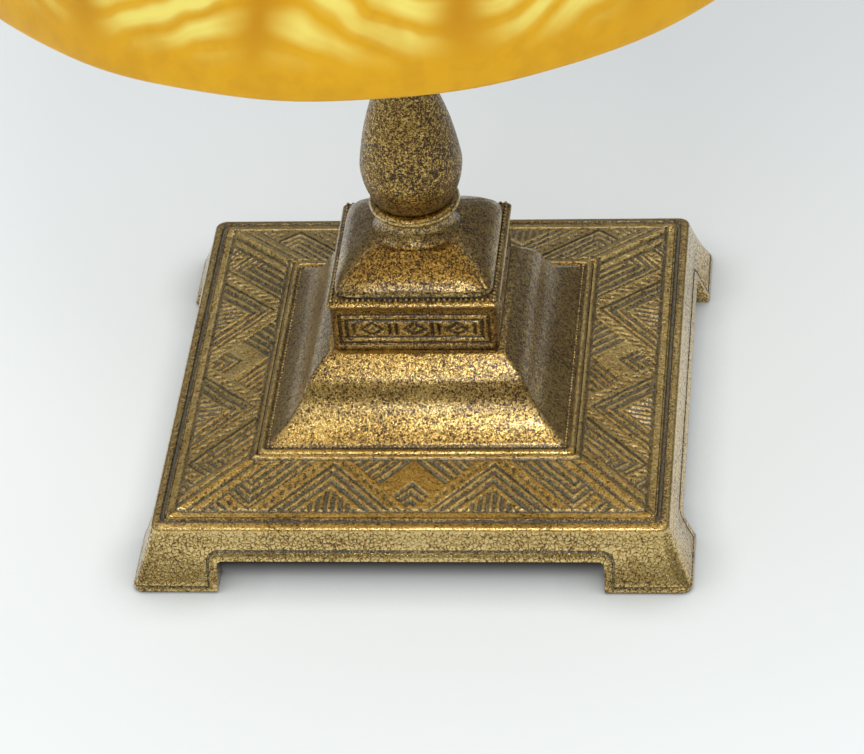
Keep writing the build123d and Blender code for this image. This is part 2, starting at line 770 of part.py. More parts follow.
def heat_cap():
    """Spun cap over the glass, with a ring of vents."""
    shoulder_z = heat_cap_z + heat_cap_lip
    hub_z = shoulder_z + heat_cap_rise
    hub_top_z = finial_z
    inner = heat_cap_radius - heat_cap_wall
    flange = shade_hole_radius + (shade_ledge_radius - shade_hole_radius) / 2
    outer_start = (heat_cap_radius, shoulder_z)
    outer_end = (heat_cap_hub_radius, hub_z)
    inner_start = (inner, shoulder_z)
    inner_end = (heat_cap_hub_radius, hub_z - heat_cap_wall)
    edges = [
        Polyline((flange, heat_cap_z), (heat_cap_radius, heat_cap_z), outer_start),
        ThreePointArc(outer_start, stand_off(outer_start, outer_end, -heat_cap_bow), outer_end),
        Polyline(
            outer_end,
            (heat_cap_hub_radius, hub_top_z),
            (stud_hole_radius, hub_top_z),
            (stud_hole_radius, hub_z - heat_cap_wall),
            inner_end,
        ),
        ThreePointArc(inner_end, stand_off(inner_start, inner_end, -heat_cap_bow), inner_start),
        Polyline(
            inner_start,
            (inner, heat_cap_z + heat_cap_wall),
            (flange, heat_cap_z + heat_cap_wall),
            (flange, heat_cap_z),
        ),
    ]
    cap = turned(edges)
    vent = disc(heat_cap_vent_radius, heat_cap_z, hub_top_z)
    return cap - [spot * vent for spot in PolarLocations(heat_cap_vent_circle, heat_cap_vents)]


def finial():
    """Turned knob screwed on the stud, which holds the shade down."""
    bore = stud_radius + running_clearance
    foot_top_z = finial_z + finial_foot_height
    neck_z = finial_z + finial_neck_rise
    ball_z = neck_z + sqrt(finial_ball_radius**2 - finial_neck_radius**2)
    tip_foot = finial_ball_radius / 4
    tip_foot_z = ball_z + sqrt(finial_ball_radius**2 - tip_foot**2)
    foot_edge = (finial_foot_radius, foot_top_z)
    neck = (finial_neck_radius, neck_z)
    edges = [
        Polyline((0, finial_z), (finial_foot_radius, finial_z), foot_edge),
        ThreePointArc(foot_edge, stand_off(foot_edge, neck, finial_foot_height / 4), neck),
        ThreePointArc(neck, (finial_ball_radius, ball_z), (tip_foot, tip_foot_z)),
        Polyline((tip_foot, tip_foot_z), (0, tip_foot_z + finial_tip_height), (0, finial_z)),
    ]
    stud_top_z = seat_z + stud_length
    return turned(edges) - disc(bore, finial_z - overcut, stud_top_z + stud_head_thickness)


save("base_casting", base_casting())
save("base_weight", base_weight())
save("foot_washer", tube(washer_radius, pipe_hole_radius, locknut_top_z, washer_top_z))
save("foot_locknut", foot_locknut())
save("tie_pipe", tube(pipe_radius, pipe_bore_radius, pipe_bottom_z, pipe_top_z))
save("wire_pair", wire_pair())
save("cord_bush", cord_bush())
save("pedestal_block", pedestal_block())
save("stem_collar", stem_collar())
save("stem_baluster", stem_baluster())
save("stem_cap", stem_cap())
save("harp_saddle", harp_saddle())
save("harp_loop", harp_loop())
save("harp_stud", harp_stud())
for name, side in (("left", -1), ("right", 1)):
    save(f"harp_ferrule_{name}", harp_ferrule(side))
save("socket_cap", socket_cap())
save("socket_shell", socket_shell())
save("shell_liner", shell_liner())
save("socket_body", socket_body())
save("terminal_screws", terminal_screws())
save("screw_shell", screw_shell())
save("centre_contact", centre_contact())
save("switch_spindle", switch_spindle())
save("switch_key", switch_key())
save("bulb_cap", bulb_cap())
save("bulb_insulator", bulb_insulator())
save("bulb_contact", bulb_contact())
save("bulb_envelope", bulb_envelope())
save("bulb_stem", bulb_stem())
save("bulb_leads", bulb_leads())
save("bulb_filament", bulb_filament())
save("shade_seat", shade_seat())
save("seat_gasket", seat_gasket())
save("glass_shade", glass_shade())
save("cap_gasket", cap_gasket())
save("heat_cap", heat_cap())
save("finial", finial())
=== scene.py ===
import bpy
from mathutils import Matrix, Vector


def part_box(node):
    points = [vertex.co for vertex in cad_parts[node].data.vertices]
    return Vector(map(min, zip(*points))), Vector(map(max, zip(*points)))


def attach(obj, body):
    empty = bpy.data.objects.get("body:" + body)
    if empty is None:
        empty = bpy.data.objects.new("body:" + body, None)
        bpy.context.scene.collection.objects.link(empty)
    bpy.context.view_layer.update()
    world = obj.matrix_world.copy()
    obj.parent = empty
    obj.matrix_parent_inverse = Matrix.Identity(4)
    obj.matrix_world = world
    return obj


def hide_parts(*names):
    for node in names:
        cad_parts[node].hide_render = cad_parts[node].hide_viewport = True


bl_info = {
    "name": "Gilt Table Lamp",
    "version": (1, 0, 0),
    "blender": (4, 5, 0),
    "location": "3D View > Sidebar > Lamp",
    "description": "Dresses a cast table lamp: relief base, turned stem, combed amber shade and studio",
    "category": "Object",
}

import bpy
from math import asin, atan2, cos, exp, floor, hypot, pi, radians, sin, sqrt
from mathutils import Matrix, Vector, noise

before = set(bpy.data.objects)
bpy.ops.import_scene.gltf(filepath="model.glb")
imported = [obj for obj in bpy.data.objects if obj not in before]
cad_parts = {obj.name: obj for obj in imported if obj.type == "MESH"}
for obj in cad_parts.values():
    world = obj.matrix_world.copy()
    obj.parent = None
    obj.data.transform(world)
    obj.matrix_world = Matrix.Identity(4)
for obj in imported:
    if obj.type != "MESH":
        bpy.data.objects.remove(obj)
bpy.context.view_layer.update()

MM = 0.001
SIDES = ("front", "right", "rear", "left")
MERGE_REACH = 0.01 * MM

# Turns between faces, in degrees, past which an edge is eased or stays a corner
EASED_ANGLE = 40
CORNER_ANGLE = 38
GLASS_ANGLE = 50
RELIEF_ANGLE = 60

# Heights and half widths of the cast pieces, in millimetres, from the imported pieces' own boxes
BASE_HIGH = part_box("base_casting")[1] / MM
BLOCK_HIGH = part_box("pedestal_block")[1] / MM
FOOT_HALF = BASE_HIGH.x
BASE_TOP = BASE_HIGH.z
BLOCK_TOP = BLOCK_HIGH.z
LEDGE_HALF = BLOCK_HIGH.x

# Section of the base casting, in millimetres
PLATE_HALF = 76.0
PLATE_EDGE = 19.4
BAND_INNER_HALF = 45.0
BAND_TOP = 24.2
FIELD_OUTER_HALF = 71.4
FIELD_INNER_HALF = 47.4
FIELD_DEPTH = 0.9
NOTCH_HALF = 56.8
NOTCH_HEIGHT = 9.4
NOTCH_ROUND = 1.6
OGEE_FOOT = (43.2, 25.1)
OGEE_HOLLOW = (38.5, 28.8)
OGEE_WAIST = (34.8, 33.5)
OGEE_SHOULDER = (31.5, 40.0)
OGEE_CROWN = (26.4, BASE_TOP)
CASTING_WALL = 4.2
FOOT_EDGE = 1.2
SKIRT_TOP = (PLATE_HALF + 0.3, PLATE_EDGE - 2.2)
SKIRT_BOW = 0.4
LINE_FOOT = 2.1
LINE_OVER = 3.0
LINE_INSET = 2.6
LINE_BEND = 3.2
LINE_RADIUS = 0.5
QUARTER_BOW = -0.29
BORDER_GROOVE = 72.75
INNER_BEAD = 46.2
PEARL_ROW = (44.2, 24.15)
PEARL_RADIUS = 0.55
PEARL_PITCH = 1.35
BASE_EASE = 0.3


def size_setting(name, description, default, least):
    """One size that a user may change."""
    return bpy.props.FloatProperty(
        name=name, description=description + ", in millimetres", default=default, min=least)


def count_setting(name, description, default, least):
    """One count that a user may change."""
    return bpy.props.IntProperty(name=name, description=description, default=default, min=least)


def colour_setting(name, description, default):
    """One colour that a user may change."""
    return bpy.props.FloatVectorProperty(
        name=name, description=description, subtype="COLOR", size=4, default=default, min=0.0, max=1.0)


class LampReliefSettings(bpy.types.PropertyGroup):
    """Sizes of the cast ornament and of the glass pattern."""

    groove_pitch: size_setting("Groove pitch", "Distance between hatch grooves on the band", 2.4, 0.5)
    groove_depth: size_setting("Groove depth", "Depth of the hatch grooves", 0.8, 0.1)
    zigzag_count: count_setting("Zigzag points", "Points of the zigzag on one side of the base", 3, 1)
    strip_width: size_setting("Plain strip", "Width of the stippled strip along the zigzag", 4.2, 0.5)
    corner_round: size_setting("Corner rounding", "Plan rounding of the base's corners", 3.4, 0.2)
    comb_waves: count_setting("Comb waves", "Waves of the combed pattern around the shade", 8, 2)
    rib_depth: size_setting("Rib depth", "Depth of the soft ribs blown into the glass", 0.5, 0.0)


class LampFinishSettings(bpy.types.PropertyGroup):
    """Colours of the lamp's finishes."""

    gilt: colour_setting("Gilt", "Straw gold of the flecks", (0.56, 0.375, 0.092, 1.0))
    bright: colour_setting("Worn gilt", "Bright gold where the patina is rubbed off", (0.76, 0.57, 0.24, 1.0))
    bronze: colour_setting("Bronze", "Warm brown where the gilt is thin", (0.25, 0.132, 0.030, 1.0))
    umber: colour_setting("Umber", "Dark patina in pits and cracks", (0.050, 0.026, 0.006, 1.0))
    verdigris: colour_setting("Verdigris", "Grey-green bloom in the grooves", (0.195, 0.210, 0.160, 1.0))
    brass: colour_setting("Aged brass", "Socket, harp and small fittings", (0.46, 0.31, 0.11, 1.0))
    amber: colour_setting("Amber", "Body colour of the shade", (0.63, 0.330, 0.008, 1.0))
    pale: colour_setting("Pale wave", "Combed opal waves in the shade", (0.75, 0.63, 0.14, 1.0))
    honey: colour_setting("Honey bar", "Darker bars where the waves were combed", (0.46, 0.205, 0.007, 1.0))
    # The lining colour also feeds the shade's painted glow, so it paints brighter light inside the dome
    lining: colour_setting("Lining", "Pale glass inside the shade", (0.88, 0.76, 0.48, 1.0))
    paper: colour_setting("Floor", "Pale studio floor", (0.85, 0.89, 0.91, 1.0))


# Plain modelling helpers


def pick_none():
    """Leave edit mode and deselect everything."""
    if bpy.context.object and bpy.context.object.mode != "OBJECT":
        bpy.ops.object.mode_set(mode="OBJECT")
    bpy.ops.object.select_all(action="DESELECT")


def pick(piece):
    """Select one piece alone and make it active."""
    pick_none()
    piece.select_set(True)
    bpy.context.view_layer.objects.active = piece


def new_shape(kind, **values):
    """Add one of the plain mesh shapes and return it."""
    pick_none()
    getattr(bpy.ops.mesh, "primitive_" + kind + "_add")(**values)
    return bpy.context.object


def new_object(name, data):
    """Put a curve, light or camera into the scene and return it."""
    thing = bpy.data.objects.new(name, data)
    bpy.context.scene.collection.objects.link(thing)
    return thing


def apply_modifier(piece, kind, name, **values):
    """Add a modifier, set its values and apply it."""
    pick(piece)
    modifier = piece.modifiers.new(name, kind)
    for key, value in values.items():
        setattr(modifier, key, value)
    bpy.ops.object.modifier_apply(modifier=modifier.name)


def settle(piece):
    """Put a piece's place into its mesh."""
    pick(piece)
    bpy.ops.object.transform_apply(location=True, rotation=True, scale=True)


def dress(mesh, finish):
    """Give a mesh one finish alone."""
    mesh.materials.clear()
    mesh.materials.append(bpy.data.materials[finish])


def hand_in(piece, name, body, finish, replaced=()):
    """Name a finished piece, dress it and parent it to its body's empty."""
    piece.name = name
    piece.data.name = name
    dress(piece.data, finish)
    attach(piece, body)
    if replaced:
        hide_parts(*replaced)


def ease_edges(piece, width, segments=2):
    """Round the sharp edges of a piece a little."""
    apply_modifier(piece, "BEVEL", "eased", width=width * MM, segments=segments, limit_method="ANGLE",
                   angle_limit=radians(EASED_ANGLE))


def smooth(piece, angle=CORNER_ANGLE):
    """Smooth shading that keeps real corners."""
    pick(piece)
    bpy.ops.object.shade_smooth_by_angle(angle=radians(angle))


def arc_rows(start, end, bow, steps):
    """Points after start along a shallow arc to end that stands off its chord by bow, to the left."""
    run, rise = end[0] - start[0], end[1] - start[1]
    chord = hypot(run, rise)
    rows = []
    for step in range(1, steps + 1):
        t = step / steps
        off = bow * 4 * t * (1 - t)
        rows.append((start[0] + run * t - rise / chord * off, start[1] + rise * t + run / chord * off))
    return rows


def curve_rows(points, steps):
    """Smooth line through points, an even number of steps between each pair."""
    rows = []
    ends = [points[0]] + list(points) + [points[-1]]
    for before, start, end, after in zip(ends, ends[1:], ends[2:], ends[3:]):
        for step in range(steps):
            t = step / steps
            row = []
            for a, b, c, d in zip(before, start, end, after):
                row.append(0.5 * (2 * b + (c - a) * t + (2 * a - 5 * b + 4 * c - d) * t**2
                                  + (3 * b - a - 3 * c + d) * t**3))
            rows.append(tuple(row))
    return rows + [tuple(points[-1])]


def join(piece, other):
    """Join another piece into a piece."""
    pick(piece)
    other.select_set(True)
    bpy.ops.object.join()


def pearl_row(half, height, radius, pitch):
    """Row of small cast beads round a square, as one mesh with worn tops."""
    row = new_shape("uv_sphere", segments=8, ring_count=5, radius=radius * MM,
                    location=(-half * MM, -half * MM, height * MM))
    settle(row)
    count = round(2 * half / pitch)
    apply_modifier(row, "ARRAY", "along", count=count, use_relative_offset=False, use_constant_offset=True,
                   constant_offset_displace=(2 * half / count * MM, 0, 0))
    for turn in (pi / 2, pi):
        pick(row)
        bpy.ops.object.duplicate()
        turned_copy = bpy.context.object
        turned_copy.rotation_euler.z = turn
        settle(turned_copy)
        join(row, turned_copy)
    write_marks(row, [(0.0, 0.8)] * len(row.data.vertices))
    return row


def edge_length(piece, edge):
    """Length of a mesh edge."""
    start, end = (piece.data.vertices[index].co for index in edge.vertices)
    return (start - end).length


def round_plan(piece, low_z, high_z, low_power, high_power):
    """Round the square plan more and more between two heights, as a superellipse of falling power."""
    for vertex in piece.data.vertices:
        x, y = abs(vertex.co.x), abs(vertex.co.y)
        z = vertex.co.z / MM
        if z <= low_z or max(x, y) < MM:
            continue
        t = min(1.0, (z - low_z) / (high_z - low_z))
        power = low_power + (high_power - low_power) * sqrt(t)
        shrink = (1 + (min(x, y) / max(x, y)) ** power) ** (-1 / power)
        vertex.co.x *= shrink
        vertex.co.y *= shrink


def open_mesh():
    """Start editing the active piece with all of its mesh selected."""
    bpy.ops.object.mode_set(mode="EDIT")
    bpy.ops.mesh.select_all(action="SELECT")


def close_mesh():
    """Turn every face of the edited mesh outwards and stop editing."""
    bpy.ops.mesh.select_all(action="SELECT")
    bpy.ops.mesh.normals_make_consistent(inside=False)
    bpy.ops.object.mode_set(mode="OBJECT")


def cut_sides(piece, cuts):
    """Divide the long sides of an edited square."""
    bpy.ops.mesh.select_all(action="DESELECT")
    bpy.ops.object.mode_set(mode="OBJECT")
    longest = max(edge_length(piece, edge) for edge in piece.data.edges)
    for edge in piece.data.edges:
        edge.select = edge_length(piece, edge) > longest * 0.9
    bpy.ops.object.mode_set(mode="EDIT")
    bpy.ops.mesh.subdivide(number_cuts=cuts)


def square_lathe(rows, corner_round, side_cuts=0):
    """Closed square-plan form: a rounded square drawn up through rows of (half width, height)."""
    first_half, first_z = rows[0]
    piece = new_shape("plane", size=2 * first_half * MM, location=(0, 0, first_z * MM))
    settle(piece)
    open_mesh()
    corner = first_half * corner_round / FOOT_HALF
    bpy.ops.mesh.bevel(offset=corner * MM, segments=6, affect="VERTICES", profile=0.5)
    if side_cuts:
        cut_sides(piece, side_cuts)
    bpy.ops.mesh.select_all(action="SELECT")
    for (half, z), (next_half, next_z) in zip(rows, rows[1:]):
        bpy.ops.mesh.extrude_edges_move(TRANSFORM_OT_translate={"value": (0, 0, (next_z - z) * MM)})
        grow = next_half / half
        bpy.ops.transform.resize(value=(grow, grow, 1), center_override=(0, 0, next_z * MM))
    bpy.ops.mesh.edge_face_add()
    close_mesh()
    return piece


def turned(rows, steps=96):
    """Closed round form: a line of (radius, height) spun about the stem's axis."""
    piece = new_shape("plane", size=MM)
    open_mesh()
    bpy.ops.mesh.merge(type="CENTER")
    radius, z = rows[0]
    bpy.ops.transform.translate(value=(radius * MM, 0, z * MM))
    for (radius, z), (next_radius, next_z) in zip(rows, rows[1:]):
        move = ((next_radius - radius) * MM, 0, (next_z - z) * MM)
        bpy.ops.mesh.extrude_vertices_move(TRANSFORM_OT_translate={"value": move})
    bpy.ops.mesh.select_all(action="SELECT")
    bpy.ops.mesh.spin(steps=steps, angle=2 * pi, center=(0, 0, 0), axis=(0, 0, 1))
    bpy.ops.mesh.select_all(action="SELECT")
    bpy.ops.mesh.remove_doubles(threshold=MERGE_REACH)
    close_mesh()
    return piece


def write_share(piece, name, shares):
    """Keep a share for each point of a piece, which its finish reads."""
    piece.data.attributes.new(name, "FLOAT", "POINT").data.foreach_set("value", shares)


def write_marks(piece, marks):
    """Keep each point's groove share and ridge share."""
    for name, shares in zip(("groove", "ridge"), zip(*marks)):
        write_share(piece, name, shares)


def mark_points(piece, marks):
    """Write the marks that a function gives for each point's place in millimetres."""
    write_marks(piece, [marks(vertex.co / MM) for vertex in piece.data.vertices])


def relief_slab(grid, place, height, sink):
    """Closed slab whose face is a grid moved point by point.

    place(s, t, rise) gives a point in millimetres for s and t from -1 to 1, and height(s, t) gives
    (rise over the field's floor, groove share, ridge share)."""
    piece = new_shape("grid", x_subdivisions=grid[0], y_subdivisions=grid[1], size=2)
    marks = []
    for vertex in piece.data.vertices:
        s, t = vertex.co.x, vertex.co.y
        rise, groove, ridge = height(s, t)
        vertex.co = place(s, t, rise) * MM
        marks.append((groove, ridge))
    write_marks(piece, marks)
    inward = (place(0, 0, -1) - place(0, 0, 0)) * sink * MM
    bpy.ops.object.mode_set(mode="EDIT")
    bpy.ops.mesh.select_mode(type="EDGE")
    bpy.ops.mesh.select_all(action="DESELECT")
    bpy.ops.mesh.select_non_manifold(extend=False)
    bpy.ops.mesh.extrude_edges_move(TRANSFORM_OT_translate={"value": inward})
    bpy.ops.mesh.edge_face_add()
    bpy.ops.mesh.select_mode(type="VERT")
    close_mesh()
    smooth(piece, RELIEF_ANGLE)
    return piece


def hand_in_sides(make, prefix, finish):
    """Make one relief for each of the four sides, then name, dress and attach it."""
    for side, name in enumerate(SIDES):
        hand_in(make(side), prefix + name, "base", finish)


def ease(low, high, value):
    """Smooth step from 0 at low to 1 at high."""
    t = min(1.0, max(0.0, (value - low) / (high - low)))
    return t * t * (3 - 2 * t)


def wander(x, y, seed):
    """Slow deterministic unevenness between about -1 and 1."""
    return noise.noise(Vector((x, y, seed)))


# Shader helpers


def add_node(tree, kind, **settings):
    """Add a shader node and set its properties."""
    node = tree.nodes.new("ShaderNode" + kind)
    for name, value in settings.items():
        setattr(node, name, value)
    return node


def feed(node, values):
    """Link signals to a node's sockets, or set the sockets' plain values, by label or number."""
    for key, value in values.items():
        if isinstance(value, Signal):
            node.id_data.links.new(value.socket, node.inputs[key])
        else:
            node.inputs[key].default_value = value


class Signal:
    """Output of a shader node, reckoned with like a number."""

    def __init__(self, node, output=0):
        self.tree = node.id_data
        self.socket = node.outputs[output]

    def maths(self, operation, other=0.0, clamp=False):
        """Result of a Math node with another value."""
        node = add_node(self.tree, "Math", operation=operation, use_clamp=clamp)
        feed(node, {0: self, 1: other})
        return Signal(node)

    def __add__(self, other):
        return self.maths("ADD", other)

    def __sub__(self, other):
        return self.maths("SUBTRACT", other)

    def __mul__(self, other):
        return self.maths("MULTIPLY", other)

    def __abs__(self):
        return self.maths("ABSOLUTE")

    def or_more(self, other):
        """The greater of this and another value."""
        return self.maths("MAXIMUM", other)

    def step(self, low, high, to_low=0.0, to_high=1.0):
        """Smooth step between two limits."""
        node = add_node(self.tree, "MapRange", interpolation_type="SMOOTHSTEP")
        feed(node, {0: self, 1: low, 2: high, 3: to_low, 4: to_high})
        return Signal(node)

    def blend(self, first, second):
        """Colour mixed by this share."""
        node = add_node(self.tree, "Mix", data_type="RGBA")
        feed(node, {0: self, 6: first, 7: second})
        return Signal(node, 2)

    def mix(self, first, second):
        """Number mixed by this share."""
        node = add_node(self.tree, "Mix", data_type="FLOAT")
        feed(node, {0: self, 2: first, 3: second})
        return Signal(node)

    def grain(self, size_mm, detail=2.0, roughness=0.5, distortion=0.0):
        """Noise at these coordinates whose blotches are about size_mm across."""
        node = add_node(self.tree, "TexNoise")
        feed(node, {"Vector": self, "Scale": 1 / (size_mm * MM), "Detail": detail,
                    "Roughness": roughness, "Distortion": distortion})
        return Signal(node, "Fac")

    def cells(self, size_mm):
        """Distance to the nearest border of a cell pattern about size_mm across."""
        node = add_node(self.tree, "TexVoronoi", feature="DISTANCE_TO_EDGE")
        feed(node, {"Vector": self, "Scale": 1 / (size_mm * MM)})
        return Signal(node, "Distance")


def place_signals(tree, kind):
    """Texture coordinates of a kind: the whole, then X, Y and Z."""
    where = Signal(add_node(tree, "TexCoord"), kind)
    split = add_node(tree, "SeparateXYZ")
    feed(split, {0: where})
    return where, Signal(split, "X"), Signal(split, "Y"), Signal(split, "Z")


def point_share(tree, name):
    """Share that was kept for each point of a piece."""
    return Signal(add_node(tree, "Attribute", attribute_name=name), "Fac")


def add_bump(shader, height, depth_mm, strength):
    """Roughen a shader's surface by a height."""
    bump = add_node(height.tree, "Bump")
    feed(bump, {"Height": height, "Distance": depth_mm * MM, "Strength": strength})
    feed(shader, {"Normal": Signal(bump)})


def new_group(name, inputs, outputs):
    """Shader node group with number inputs; returns its tree, input node and output node."""
    tree = bpy.data.node_groups.new(name, "ShaderNodeTree")
    for label, default in inputs.items():
        socket = tree.interface.new_socket(label, in_out="INPUT", socket_type="NodeSocketFloat")
        socket.default_value = default
    for label, kind in outputs.items():
        tree.interface.new_socket(label, in_out="OUTPUT", socket_type="NodeSocket" + kind)
    return tree, tree.nodes.new("NodeGroupInput"), tree.nodes.new("NodeGroupOutput")


def place_group(tree, group, values):
    """Put a node group into a tree with its own values."""
    node = tree.nodes.new("ShaderNodeGroup")
    node.node_tree = group
    feed(node, values)
    return node


def new_material(name):
    """Material with a Principled shader; returns its tree and the shader."""
    material = bpy.data.materials.new(name)
    material.use_nodes = True
    tree = material.node_tree
    return tree, tree.nodes["Principled BSDF"]


# Finishes

HOLLOW_REACH = 4.0
COAT_ROUGHNESS = 0.24


def crevice_group():
    """Mask for hollows, where the patina stays dark and bloom gathers."""
    tree, _, out = new_group("Crevice", {}, {"Hollow": "Float"})
    shade = add_node(tree, "AmbientOcclusion", samples=4, only_local=True)
    feed(shade, {"Distance": HOLLOW_REACH * MM})
    feed(out, {"Hollow": Signal(shade, "AO").step(0.85, 0.4)})
    return tree


def patina_group(finish, crevices):
    """Gilt flecks over umber, rubbed bright on edges and green-grey in hollows and grooves, with the skirt
    and feet painted brighter.
    """
    tree, given, out = new_group(
        "Gilt patina", {"WearAndPaintedLight": 0.5, "Bloom": 0.5, "Matt": 0.0},
        {"Color": "Color", "Metallic": "Float", "Roughness": "Float", "Height": "Float"})
    where, _, _, z = place_signals(tree, "Object")
    groove = point_share(tree, "groove")
    ridge = point_share(tree, "ridge")
    hollow = Signal(place_group(tree, crevices, {}), "Hollow")

    upper = z.step(SKIRT_TOP[1] * MM, PLATE_EDGE * MM)
    fine = where.grain(0.55, 2.0, 0.6, 0.8)
    flake = where.grain(1.5, 2.0, 0.5, 0.6)
    drift = where.grain(24.0)
    crack = where.cells(1.25).step(0.04, 0.25, -0.30, 0.0)
    thread = abs(where.grain(0.9, 2.0, 0.5, 1.2) - 0.5).step(0.0, 0.05, -0.16, 0.0)
    level = fine * 1.3 - 0.15 + (flake - 0.5) * 0.45 + (drift - 0.5) * 0.3
    # Below the plate's edge the level is raised: painted light, the skirt and feet made brighter as if lit by
    # light off the floor
    level += (Signal(given, "WearAndPaintedLight") - 0.5) * 0.5 + upper.mix(crack, thread) + upper.mix(0.27, 0.0)
    level += hollow * -0.18 + ridge * 0.13 + groove * -0.16
    thin = level.step(0.33, 0.46)
    flecks = level.step(0.44, 0.58)
    rubbed = level.step(0.60, 0.78)

    bloom = hollow.or_more(groove) * fine.step(0.30, 0.60)
    bloom = bloom.maths("MULTIPLY", Signal(given, "Bloom"), clamp=True)
    colour = flecks.blend(thin.blend(finish.umber, finish.bronze), finish.gilt)
    colour = bloom.blend(rubbed.blend(colour, finish.bright), finish.verdigris)
    rough = rubbed.mix(flecks.mix(0.46, 0.28), 0.24) + Signal(given, "Matt") * 0.25
    feed(out, {"Color": colour, "Metallic": bloom.mix(thin.mix(0.7, 0.97), 0.25),
               "Roughness": bloom.mix(rough, 0.75), "Height": thin * 0.5 + level * 0.8})
    return tree


def patina_material(name, group, wear, bloom, matt=0.0, coat=0.4, bump_mm=0.10):
    """Cast bronze with its own share of wear and bloom; the wear share also lightens or darkens the whole
    finish as painted light or shade.
    """
    tree, shader = new_material(name)
    patina = place_group(tree, group, {"WearAndPaintedLight": wear, "Bloom": bloom, "Matt": matt})
    feed(shader, {"Base Color": Signal(patina, "Color"), "Metallic": Signal(patina, "Metallic"),
                  "Roughness": Signal(patina, "Roughness"), "Coat Weight": coat,
                  "Coat Roughness": COAT_ROUGHNESS})
    add_bump(shader, Signal(patina, "Height"), bump_mm, 0.8)


def plain_material(name, colour, metallic, rough, grain_mm, spread=0.25, bump_mm=0.05, dark=0.55):
    """Simple solid with blotches of shade, uneven gloss and a fine grain."""
    tree, shader = new_material(name)
    where = Signal(add_node(tree, "TexCoord"), "Object")
    blotch = where.grain(9.0, 4.0, 0.6, 0.3)
    fine = where.grain(grain_mm, 3.0, 0.6)
    shade = tuple(channel * dark for channel in colour[:3]) + (1.0,)
    base = (fine * 0.5 + blotch * 0.6).step(0.36, 0.66).blend(shade, colour)
    gloss = blotch.mix(rough - spread / 2, rough + spread / 2)
    feed(shader, {"Base Color": base, "Metallic": metallic, "Roughness": gloss})
    add_bump(shader, fine, bump_mm, 0.6)


# The base


def band_height(half):
    """Height of the sloping band at a half width."""
    return BAND_TOP + (PLATE_EDGE - BAND_TOP) * (half - BAND_INNER_HALF) / (PLATE_HALF - BAND_INNER_HALF)


def skirt_half(z):
    """Half width of the flared skirt at a height, with its slight hollow."""
    t = (z - FOOT_EDGE) / (SKIRT_TOP[1] - FOOT_EDGE)
    return FOOT_HALF + (SKIRT_TOP[0] - FOOT_HALF) * t - SKIRT_BOW * 4 * t * (1 - t)


def base_rows():
    """Section of the hollow casting, from the ceiling of its hollow round the foot to the crown."""
    inside = [
        (OGEE_CROWN[0] - CASTING_WALL / 2, BASE_TOP - CASTING_WALL),
        (OGEE_WAIST[0] - CASTING_WALL, OGEE_WAIST[1] - CASTING_WALL / 2),
        (OGEE_FOOT[0] - CASTING_WALL, OGEE_FOOT[1] - CASTING_WALL),
        (PLATE_HALF - CASTING_WALL, PLATE_EDGE - CASTING_WALL),
        (PLATE_HALF - CASTING_WALL, 0.0),
    ]
    skirt = arc_rows((FOOT_HALF - FOOT_EDGE, 0.0), (FOOT_HALF, FOOT_EDGE), -0.4, 4)
    skirt = [(FOOT_HALF - FOOT_EDGE, 0.0)] + skirt
    skirt += arc_rows(skirt[-1], SKIRT_TOP, SKIRT_BOW, 6)
    skirt += [(PLATE_HALF, PLATE_EDGE - 1.2)]
    skirt += arc_rows(skirt[-1], (PLATE_HALF - 1.4, band_height(PLATE_HALF - 1.4)), -0.45, 5)
    band = []
    for half, rise in (
        (PLATE_HALF - 2.2, 0),
        (BORDER_GROOVE + 0.75, 0), (BORDER_GROOVE + 0.35, -0.75), (BORDER_GROOVE - 0.35, -0.8),
        (BORDER_GROOVE - 0.75, 0),
        (FIELD_OUTER_HALF + 0.2, 0), (FIELD_OUTER_HALF, -FIELD_DEPTH),
        (FIELD_INNER_HALF, -FIELD_DEPTH), (FIELD_INNER_HALF - 0.1, -0.3),
        (INNER_BEAD + 0.75, 0.3), (INNER_BEAD + 0.3, 0.5), (INNER_BEAD - 0.3, 0.5), (INNER_BEAD - 0.75, 0.25),
        (BAND_INNER_HALF, -0.35),
    ):
        band.append((half, band_height(half) + rise))
    band += [(BAND_INNER_HALF - 0.7, BAND_TOP - 0.3), (OGEE_FOOT[0] + 0.3, OGEE_FOOT[1] - 0.15)]
    ogee = curve_rows((OGEE_FOOT, OGEE_HOLLOW, OGEE_WAIST, OGEE_SHOULDER, OGEE_CROWN), 5)
    return inside + skirt + band + ogee


def base_marks(place):
    """Groove and ridge share at a point of the casting: bloom in the border groove, wear on its edges, and a
    painted highlight along the plate's rim.
    """
    half = max(abs(place.x), abs(place.y))
    near_band = ease(1.6, 1.0, abs(place.z - band_height(half)))
    groove = near_band * ease(0.7, 0.4, abs(half - BORDER_GROOVE))
    bead = near_band * ease(1.2, 0.6, abs(half - INNER_BEAD))
    # The plate's rim is marked rubbed bright: edge wear, and also a painted highlight along the edge
    rim = ease(1.7, 0.7, hypot(half - PLATE_HALF + 0.5, place.z - PLATE_EDGE + 0.3))
    channel = ease(1.0, 0.6, hypot(half - PEARL_ROW[0], place.z - PEARL_ROW[1]))
    groove = max(groove, 0.8 * channel)
    depth = skirt_half(place.z) - half
    across = min(abs(place.x), abs(place.y))
    on_skirt = FOOT_EDGE < place.z < SKIRT_TOP[1] and across < half - 5
    by_notch = place.z < NOTCH_HEIGHT + 0.9 and across < NOTCH_HALF + 0.9
    if on_skirt and not by_notch and 0.15 < depth < 0.8:
        groove = 1.0
    return groove, max(0.8 * bead, rim)


def notch_cutter(turn):
    """Long bar with eased edges that opens the gap between two feet, front to back or side to side."""
    bar = new_shape("cube", size=1, scale=(2 * NOTCH_HALF * MM, 3 * FOOT_HALF * MM, 2 * NOTCH_HEIGHT * MM))
    bar.rotation_euler.z = turn
    settle(bar)
    ease_edges(bar, NOTCH_ROUND, 3)
    return bar


